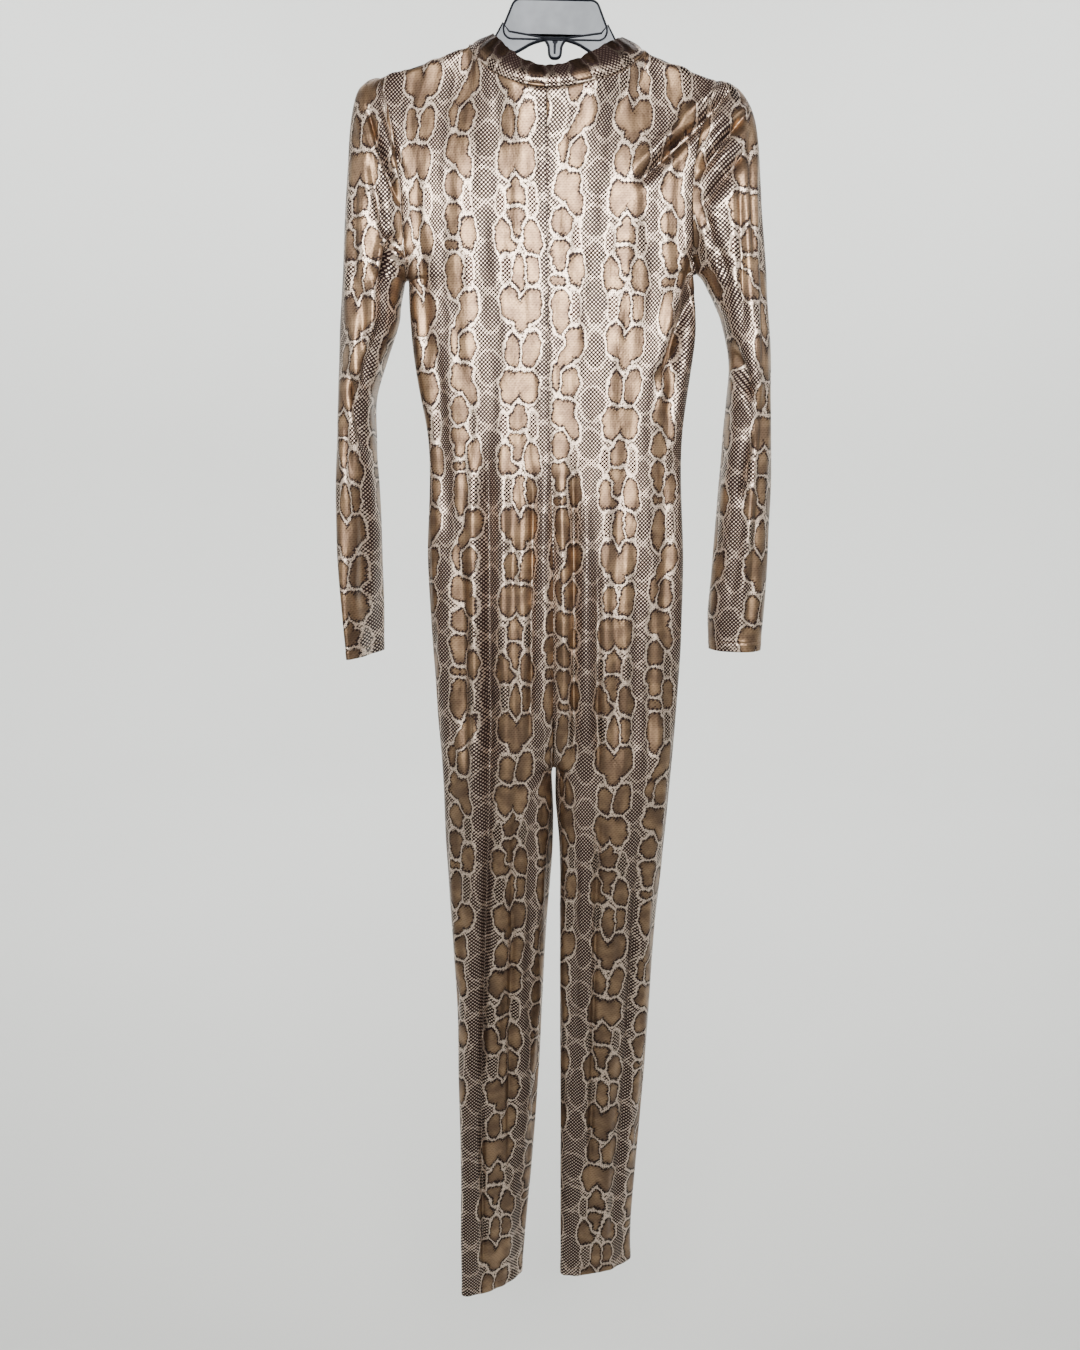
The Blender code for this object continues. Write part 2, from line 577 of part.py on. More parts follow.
def wall(name, points, normals, closed, outward, finish):
    """A closed wall of the cloth's thickness round a grid of middle points."""
    rows, columns = points.shape[:2]
    outside = points + normals * WALL / 2
    inside = points - normals * WALL / 2
    vertices = np.concatenate([outside.reshape(-1, 3), inside.reshape(-1, 3)])
    number = np.arange(rows * columns).reshape(rows, columns)
    if closed:
        number = np.concatenate([number, number[:, :1]], axis=1)
    other = number + rows * columns
    flat = points.reshape(-1, 3)
    faces = []

    def face(*corners):
        faces.append(tuple(int(c) for c in corners)[::outward])

    def rim(a, b):
        for k in range(len(a) - 1):
            face(a[k], a[k + 1], b[k + 1], b[k])

    # Both sides of the wall are split along the same, shorter diagonal, so they stay parallel
    for r in range(rows - 1):
        for c in range(number.shape[1] - 1):
            low, across = number[r, c], number[r, c + 1]
            down, far = number[r + 1, c], number[r + 1, c + 1]
            to_far = np.linalg.norm(flat[low] - flat[far])
            if to_far <= np.linalg.norm(flat[across] - flat[down]):
                halves = [(low, across, far), (low, far, down)]
            else:
                halves = [(low, across, down), (across, far, down)]
            for i, j, k in halves:
                face(i, j, k)
                face(k + rows * columns, j + rows * columns, i + rows * columns)
    rim(other[0], number[0])
    rim(number[-1], other[-1])
    if not closed:
        rim(number[:, 0], other[:, 0])
        rim(other[:, -1], number[:, -1])
    mesh = bpy.data.meshes.new(name)
    mesh.from_pydata([tuple(map(float, p)) for p in vertices], [], faces)
    mesh.shade_smooth()
    return add_object(name, mesh, finish)


def extruded(name, outline, thick, finish):
    """A plate of the given thickness with an outline in X and Z."""
    work = bmesh.new()
    face = work.faces.new([work.verts.new((x, -thick / 2, z)) for x, z in outline])
    made = bmesh.ops.extrude_face_region(work, geom=[face])
    moved = [v for v in made["geom"] if isinstance(v, bmesh.types.BMVert)]
    bmesh.ops.translate(work, verts=moved, vec=(0, thick, 0))
    bmesh.ops.recalc_face_normals(work, faces=work.faces)
    mesh = bpy.data.meshes.new(name)
    work.to_mesh(mesh)
    work.free()
    return add_object(name, mesh, finish)


def arc(centre, radius, start, end, steps):
    """Points in X and Z along an arc, angles in degrees from +X."""
    angles = [math.radians(start + (end - start) * k / steps) for k in range(steps + 1)]
    return [(centre[0] + radius * math.cos(a), centre[1] + radius * math.sin(a)) for a in angles]


def mirrored(half):
    """A closed outline from its right half, given from the top centre to the bottom centre."""
    return half + [(-x, z) for x, z in reversed(half) if abs(x) > 1e-6]


def apply_modifiers(piece):
    """Makes a piece's evaluated shape its own mesh."""
    bpy.context.view_layer.update()
    graph = bpy.context.evaluated_depsgraph_get()
    mesh = bpy.data.meshes.new_from_object(piece.evaluated_get(graph))
    piece.modifiers.clear()
    piece.data = mesh


def soften(piece, width):
    """Bevels a plate's long edges."""
    bevel = piece.modifiers.new("soften", "BEVEL")
    bevel.width = width
    bevel.segments = 1
    bevel.limit_method = "ANGLE"
    bevel.angle_limit = math.radians(60)
    apply_modifiers(piece)


def join(target, other):
    """Fuses one solid into another and drops the second."""
    cut = target.modifiers.new("join", "BOOLEAN")
    cut.operation = "UNION"
    cut.solver = "EXACT"
    cut.object = other
    apply_modifiers(target)
    bpy.data.objects.remove(other)


def make_hanger(plastic):
    """Label plate, two arms with round ends and a small tab below the plate."""
    reaches = [ARM_START_X, 0.08, 0.098, 0.116, 0.134, 0.152, 0.164, 0.174]
    top = [(x, arm_level(x)) for x in reaches]
    end_x = ARM_REACH - ARM_END_RADIUS
    tip = arc((end_x, arm_level(end_x) - ARM_END_RADIUS), ARM_END_RADIUS, 65, -90, 3)
    lower = [(0.160, -0.1505), (0.130, -0.1420), (0.095, -0.1320), (0.062, -0.1225),
             (0.038, -0.1140), (0.024, -0.1065), (0.0120, -0.1030)]
    web = extruded("hanger", mirrored(
        [(0, -0.0990), (0.050, -0.0930), (0.056, -0.0965)] + top + tip + lower + [(0, -0.1030)]
    ), HANGER_THICK, plastic)
    soften(web, HANGER_BEVEL)
    plate = extruded("plate", mirrored(
        [(0, PLATE_TOP_Z), (0.0395, PLATE_TOP_Z), (0.0435, -0.0675), (0.0525, -0.0925),
         (0.0505, -0.0985), (0.0460, -0.1010), (0, -0.1010)]
    ), PLATE_THICK, plastic)
    tab = extruded("tab", mirrored(
        [(0, -0.1000), (0.0110, -0.1000), (0.0060, -0.1070), (0.0046, -0.1160),
         (0.0026, -0.1190), (0, -0.1195)]
    ), PLATE_THICK, plastic)
    join(web, plate)
    join(web, tab)
    tilt(web)
    return web


def make_hook(steel):
    """Round wire: a stem out of the plate, a turn to the side and the hook over the rail."""
    radius = HOOK_INNER_RADIUS + HOOK_WIRE / 2
    over = arc((0.0, -HOOK_INNER_RADIUS), radius, HOOK_TIP_ANGLE, HOOK_TURN_ANGLE, 22)
    # The reverse bend brings the wire back down, and a lean back over the plate's middle
    turn = math.radians(HOOK_TURN_ANGLE)
    bend_centre = (over[-1][0] + HOOK_BEND_RADIUS * math.cos(turn),
                   over[-1][1] + HOOK_BEND_RADIUS * math.sin(turn))
    start = HOOK_TURN_ANGLE + 180
    back = arc(bend_centre, HOOK_BEND_RADIUS, start, start + HOOK_BEND, 4)[1:]
    aside = back[-1][0]
    stem = [(aside, PLATE_TOP_Z + STEM_LENGTH), (aside, PLATE_TOP_Z + RUNNING_GAP)]
    lean = [(x - aside * stem_lean(z), z) for x, z in over + back + stem]
    curve = bpy.data.curves.new("hanger_hook", "CURVE")
    curve.dimensions = "3D"
    curve.bevel_depth = HOOK_WIRE / 2
    curve.bevel_resolution = 2
    curve.use_fill_caps = True
    line = curve.splines.new("POLY")
    line.points.add(len(lean) - 1)
    for point, (x, z) in zip(line.points, lean):
        point.co = (x, 0.0, z, 1.0)
    hook = bpy.data.objects.new("hanger_hook", curve)
    hook.data.materials.append(steel)
    bpy.context.scene.collection.objects.link(hook)
    tilt(hook)
    return hook


def stem_lean(z):
    """How much of the stem's offset is taken out at a height: none at the rail, all at the plate."""
    return float(smooth_step((STEM_LEAN_TOP - z) / STEM_LEAN_HEIGHT))


def tilt(piece):
    """Turns a hanger piece about the rail, as the hanger hangs a little askew."""
    piece.rotation_euler = (0.0, -HANGER_TILT, 0.0)


def box(name, low, high, finish):
    """A plain block between two corners."""
    work = bmesh.new()
    size = [b - a for a, b in zip(low, high)]
    middle = [(a + b) / 2 for a, b in zip(low, high)]
    place = Matrix.Translation(middle) @ Matrix.Diagonal((*size, 1))
    bmesh.ops.create_cube(work, size=1.0, matrix=place)
    mesh = bpy.data.meshes.new(name)
    work.to_mesh(mesh)
    work.free()
    return add_object(name, mesh, finish)


def rod(name, radius, width, out, sides, finish):
    """A round bar across the slider, at a distance out from its sole."""
    work = bmesh.new()
    place = Matrix.Translation((0, 0, out)) @ Matrix.Rotation(math.pi / 2, 4, "Y")
    bmesh.ops.create_cone(work, cap_ends=True, segments=sides, radius1=radius, radius2=radius,
                          depth=width, matrix=place)
    mesh = bpy.data.meshes.new(name)
    work.to_mesh(mesh)
    work.free()
    return add_object(name, mesh, finish)


def make_zip(band, brass):
    """Slider on the outside of the band's back edges near the rim, and the tab on its pin.

    Both are made in the slider's own frame (X across, Y down the zip, Z outwards, the pin at
    Y = 0) and then placed on the band. The tab is turned back to lie along the band.
    """
    width, length, thick = SLIDER_SIZE
    inner_gap = EYE_WIDTH / 2 + RUNNING_GAP
    slider = box("zip_slider", (-width / 2, -length / 2, 0), (width / 2, length / 2, thick), brass)
    for way in (-1, 1):
        near, far = sorted((way * inner_gap, way * (inner_gap + EAR_THICK)))
        ear = box("ear", (near, -EAR_LENGTH / 2, thick / 2),
                  (far, EAR_LENGTH / 2, PIN_HEIGHT + EYE_RADIUS), brass)
        join(slider, ear)
    join(slider, rod("pin", PIN_RADIUS, 2 * inner_gap + EAR_THICK, PIN_HEIGHT, 10, brass))

    pull = rod("zip_pull", EYE_RADIUS, EYE_WIDTH, PIN_HEIGHT, 16, brass)
    low, high = PIN_HEIGHT - TAB_THICK / 2, PIN_HEIGHT + TAB_THICK / 2
    neck_end = EAR_LENGTH / 2 + TAB_NECK
    neck = box("neck", (-EYE_WIDTH / 2, 0, low), (EYE_WIDTH / 2, neck_end + TAB_THICK, high), brass)
    join(pull, neck)
    tab = box("tab", (-TAB_WIDTH / 2, neck_end, low), (TAB_WIDTH / 2, TAB_LENGTH, high), brass)
    join(pull, tab)
    hole = rod("hole", EYE_HOLE_RADIUS, EYE_WIDTH * 3, PIN_HEIGHT, 16, brass)
    cut = pull.modifiers.new("hole", "BOOLEAN")
    cut.operation = "DIFFERENCE"
    cut.solver = "EXACT"
    cut.object = hole
    apply_modifiers(pull)
    bpy.data.objects.remove(hole)

    # The band's back edge from its rim down, and the slider square on its top stretch
    rim, below, seam = Vector(band[-1, 0]), Vector(band[-2, 0]), Vector(band[0, 0])
    across = Vector((1, 0, 0))
    down = (below - rim).normalized()
    out = across.cross(down)
    start = rim + down * SLIDER_FROM_RIM + out * (WALL / 2 + SLIDER_LIFT)
    place = Matrix((
        (across.x, down.x, out.x, start.x),
        (across.y, down.y, out.y, start.y),
        (across.z, down.z, out.z, start.z),
        (0, 0, 0, 1),
    ))
    slider.matrix_world = place
    # The tab's object stands on the pin's axis, which is also its joint's
    axle = Matrix.Translation((0, 0, PIN_HEIGHT))
    pull.data.transform(axle.inverted())
    # It lies along the band as far as the slider's lower end lets it
    lie = (seam - below).normalized().angle(down)
    slider_top = math.atan((low - thick - RUNNING_GAP) / (length / 2))
    lie = min(lie, slider_top)
    pull.matrix_world = place @ axle @ Matrix.Rotation(-lie, 4, "X")


def make_cloth():
    """All cloth pieces, cut from one surface so that their edges follow each other."""
    panels = {
        (side.name, face): panel_points(side, face) for side in (RIGHT, LEFT) for face in (-1, 1)
    }
    band = band_points([panels[name, face] for face in (-1, 1) for name in ("right", "left")])
    names, grids = [], []
    for side in (RIGHT, LEFT):
        for face, title in ((-1, "front"), (1, "back")):
            names.append(f"{title}_{side.name}")
            grids.append((panels[side.name, face], False, side.sign * face))
    for side in (RIGHT, LEFT):
        names.append(f"sleeve_{side.name}")
        tube = sleeve_points(side, panels[side.name, -1], panels[side.name, 1])
        grids.append((tube, True, side.sign))
    names.append("neck_band")
    grids.append((band, False, 1))

    normals = grid_normals(grids)
    grids = [(press_folds(points, normal), closed, outward)
             for (points, closed, outward), normal in zip(grids, normals)]
    normals = grid_normals(grids)
    crotch = ARMHOLE_ROWS + TORSO_ROWS
    panel_corners = {"top": [NECK_COLUMNS], "inner": [crotch], "outer": [ARMHOLE_ROWS]}
    plain_corners = {"top": [], "inner": [], "outer": []}
    for name, (points, closed, outward), normal in zip(names, grids, normals):
        corners = panel_corners if name.startswith(("front", "back")) else plain_corners
        opened = open_seams(points, normal, closed, corners)
        finish = material(f"{name} cloth", CLOTH_COLOUR, roughness=0.38, metallic=0.45)
        wall(name, opened, normal, closed, outward, finish)
    return grids[-1][0]


def main():
    """Clears the scene and makes every piece."""
    for old in list(bpy.data.objects):
        bpy.data.objects.remove(old)
    band = make_cloth()
    make_hanger(material("smoke grey plastic", PLASTIC_COLOUR, roughness=0.35, metallic=0.0))
    make_hook(material("plated steel wire", STEEL_COLOUR, roughness=0.25, metallic=1.0))
    make_zip(band, material("dulled brass", BRASS_COLOUR, roughness=0.35, metallic=1.0))


main()
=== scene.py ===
"""Looks of a snake-print unitard that hangs on a plastic shirt hanger.

Metres, +Z up, X to the wearer's left and Y to the wearer's back, with the origin at the
top of the hook's inner side. The cloth's shells lie on the same surfaces as the solids:
the tables and formulas below are the solids' own, read on a finer grid and creased.
"""

import json
import logging
import math
from dataclasses import dataclass, field, replace
from enum import Enum
from typing import Sequence

import bmesh
import bpy
import numpy as np
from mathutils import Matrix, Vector

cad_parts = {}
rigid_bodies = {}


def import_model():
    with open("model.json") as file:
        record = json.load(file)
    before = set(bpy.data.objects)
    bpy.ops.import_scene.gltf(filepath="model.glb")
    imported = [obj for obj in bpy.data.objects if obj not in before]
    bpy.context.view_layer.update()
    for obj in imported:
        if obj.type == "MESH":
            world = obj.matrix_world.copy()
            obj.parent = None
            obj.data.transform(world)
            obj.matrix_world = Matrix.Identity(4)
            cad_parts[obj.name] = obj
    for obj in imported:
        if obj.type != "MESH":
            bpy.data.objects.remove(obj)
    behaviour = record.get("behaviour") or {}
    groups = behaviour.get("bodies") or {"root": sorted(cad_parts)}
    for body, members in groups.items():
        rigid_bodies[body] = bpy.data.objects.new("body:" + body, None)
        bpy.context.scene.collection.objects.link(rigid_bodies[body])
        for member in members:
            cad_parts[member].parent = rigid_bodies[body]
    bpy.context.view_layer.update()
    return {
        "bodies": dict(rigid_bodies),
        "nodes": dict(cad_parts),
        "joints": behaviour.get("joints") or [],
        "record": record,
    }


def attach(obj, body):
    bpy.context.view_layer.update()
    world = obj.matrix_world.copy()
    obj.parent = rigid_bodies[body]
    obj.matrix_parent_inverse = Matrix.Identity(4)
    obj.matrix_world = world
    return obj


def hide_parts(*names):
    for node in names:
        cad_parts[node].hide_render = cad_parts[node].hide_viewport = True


Array = np.ndarray
LOG = logging.getLogger("unitard")
GARMENT = "garment"
PRINT_UV = "print"


class Face(Enum):
    """The two sides of the body, by the sign of Y that they face."""

    FRONT = -1
    BACK = 1


@dataclass(frozen=True)
class Depth:
    """Half-depth of the body in front of and behind the hanging plane, at a height."""

    z: float
    front: float
    back: float


@dataclass(frozen=True)
class Centre:
    """Where the centre seam runs at a height."""

    z: float
    x: float


@dataclass(frozen=True)
class Outline:
    """Side seam, inseam and the leg's lean at a height."""

    z: float
    side: float
    inseam: float
    lean: float


@dataclass(frozen=True)
class Ring:
    """One section of a sleeve: its outer and inner ends, half-depth and lean."""

    outer_x: float
    outer_z: float
    inner_x: float
    inner_z: float
    deep: float
    lean: float = 0.0


@dataclass(frozen=True)
class PrintLine:
    """Where the print's main column runs at a height."""

    z: float
    x: float


@dataclass(frozen=True)
class Crease:
    """A trough along a straight line on one side of the cloth; a negative depth is a ridge."""

    face: Face
    x_top: float
    z_top: float
    x_low: float
    z_low: float
    depth: float
    width: float


@dataclass(frozen=True)
class Side:
    """One half of the garment, right or left of the wearer."""

    name: str
    sign: int
    shoulder_x: float
    underarm_x: float
    underarm_z: float
    armhole_bow: float
    hem_z: float
    outline: Sequence[Outline]
    rings: Sequence[Ring]
    print_line: Sequence[PrintLine]
    print_drop: float
    sleeve_print: tuple[float, float]


F, B = Face.FRONT, Face.BACK

DEPTHS = (
    Depth(-0.150, 0.030, 0.030),
    Depth(-0.250, 0.033, 0.034),
    Depth(-0.340, 0.035, 0.036),
    Depth(-0.550, 0.036, 0.036),
    Depth(-0.750, 0.043, 0.045),
    Depth(-0.884, 0.042, 0.044),
    Depth(-1.000, 0.039, 0.041),
    Depth(-1.200, 0.029, 0.031),
    Depth(-1.400, 0.023, 0.024),
    Depth(-1.580, 0.016, 0.017),
)
CENTRE_SEAM = (
    Centre(-0.150, -0.0105),
    Centre(-0.338, -0.0100),
    Centre(-0.425, -0.0092),
    Centre(-0.511, -0.0070),
    Centre(-0.644, -0.0045),
    Centre(-0.884, -0.0040),
)
RIGHT_OUTLINE = (
    Outline(-0.338, -0.1615, -0.0100, 0.00),
    Outline(-0.425, -0.1560, -0.0092, 0.00),
    Outline(-0.511, -0.1420, -0.0070, 0.00),
    Outline(-0.644, -0.1460, -0.0045, 0.00),
    Outline(-0.782, -0.1400, -0.0040, 0.00),
    Outline(-0.884, -0.1340, -0.0040, 0.02),
    Outline(-0.995, -0.1300, -0.0060, 0.10),
    Outline(-1.078, -0.1257, -0.0125, 0.16),
    Outline(-1.182, -0.1205, -0.0180, 0.24),
    Outline(-1.288, -0.1205, -0.0234, 0.33),
    Outline(-1.397, -0.1192, -0.0310, 0.42),
    Outline(-1.510, -0.1205, -0.0410, 0.52),
    Outline(-1.573, -0.1210, -0.0459, 0.56),
)
LEFT_OUTLINE = (
    Outline(-0.338, 0.1530, -0.0100, 0.00),
    Outline(-0.425, 0.1470, -0.0092, 0.00),
    Outline(-0.511, 0.1380, -0.0070, 0.00),
    Outline(-0.644, 0.1425, -0.0045, 0.00),
    Outline(-0.782, 0.1400, -0.0040, 0.00),
    Outline(-0.884, 0.1340, -0.0040, 0.01),
    Outline(-0.995, 0.1254, 0.0035, 0.05),
    Outline(-1.078, 0.1184, 0.0036, 0.09),
    Outline(-1.182, 0.1134, 0.0040, 0.13),
    Outline(-1.288, 0.1076, 0.0043, 0.18),
    Outline(-1.397, 0.1005, 0.0044, 0.23),
    Outline(-1.510, 0.0945, 0.0045, 0.29),
    Outline(-1.547, 0.0950, 0.0045, 0.31),
)
RIGHT_RINGS = (
    Ring(-0.1860, -0.1400, -0.1625, -0.3410, 0.022),
    Ring(-0.1985, -0.1440, -0.1640, -0.3414, 0.025),
    Ring(-0.2090, -0.1560, -0.1655, -0.3424, 0.029),
    Ring(-0.2150, -0.1830, -0.1668, -0.3455, 0.032),
    Ring(-0.2200, -0.2250, -0.1680, -0.3510, 0.035),
    Ring(-0.2250, -0.2750, -0.1695, -0.3580, 0.038),
    Ring(-0.2300, -0.3280, -0.1715, -0.3690, 0.040),
    Ring(-0.2345, -0.3830, -0.1740, -0.3880, 0.041),
    Ring(-0.2370, -0.4250, -0.1880, -0.4280, 0.041),
    Ring(-0.2400, -0.4670, -0.2010, -0.4670, 0.040, 0.10),
    Ring(-0.2420, -0.5110, -0.2020, -0.5110, 0.038, 0.30),
    Ring(-0.2440, -0.5600, -0.2010, -0.5600, 0.034, 0.60),
    Ring(-0.2440, -0.6100, -0.2005, -0.6100, 0.029, 0.95),
    Ring(-0.2425, -0.6600, -0.2020, -0.6600, 0.024, 1.35),
    Ring(-0.2390, -0.7100, -0.2040, -0.7100, 0.019, 1.80),
    Ring(-0.2355, -0.7520, -0.2058, -0.7520, 0.015, 2.25),
)
LEFT_RINGS = (
    Ring(0.1680, -0.1420, 0.1500, -0.3350, 0.022),
    Ring(0.1835, -0.1462, 0.1518, -0.3354, 0.025),
    Ring(0.1975, -0.1580, 0.1536, -0.3364, 0.028),
    Ring(0.2080, -0.1810, 0.1556, -0.3385, 0.031),
    Ring(0.2145, -0.2200, 0.1590, -0.3430, 0.034),
    Ring(0.2195, -0.2700, 0.1640, -0.3520, 0.036),
    Ring(0.2245, -0.3250, 0.1715, -0.3650, 0.038),
    Ring(0.2295, -0.3830, 0.1800, -0.3850, 0.039),
    Ring(0.2325, -0.4250, 0.1890, -0.4260, 0.039),
    Ring(0.2340, -0.4670, 0.1880, -0.4670, 0.038),
    Ring(0.2360, -0.5110, 0.1850, -0.5110, 0.037),
    Ring(0.2370, -0.5600, 0.1818, -0.5600, 0.035),
    Ring(0.2370, -0.6100, 0.1795, -0.6100, 0.033),
    Ring(0.2370, -0.6600, 0.1770, -0.6600, 0.031),
    Ring(0.2360, -0.7050, 0.1745, -0.7050, 0.030),
    Ring(0.2330, -0.7450, 0.1762, -0.7450, 0.0285),
)
RIGHT_PRINT = (
    PrintLine(-0.150, -0.0440),
    PrintLine(-0.400, -0.0400),
    PrintLine(-0.650, -0.0440),
    PrintLine(-0.900, -0.0500),
    PrintLine(-1.200, -0.0640),
    PrintLine(-1.573, -0.0830),
)
LEFT_PRINT = (
    PrintLine(-0.150, 0.0790),
    PrintLine(-0.400, 0.0710),
    PrintLine(-0.650, 0.0660),
    PrintLine(-0.900, 0.0620),
    PrintLine(-1.200, 0.0560),
    PrintLine(-1.547, 0.0480),
)
SIDES = (
    Side("right", -1, -0.186, -0.1625, -0.341, 0.000, -1.573, RIGHT_OUTLINE, RIGHT_RINGS,
         RIGHT_PRINT, -0.190, (0.012, 0.060)),
    Side("left", 1, 0.168, 0.150, -0.335, 0.009, -1.547, LEFT_OUTLINE, LEFT_RINGS,
         LEFT_PRINT, -0.2276, (-0.020, 0.020)),
)

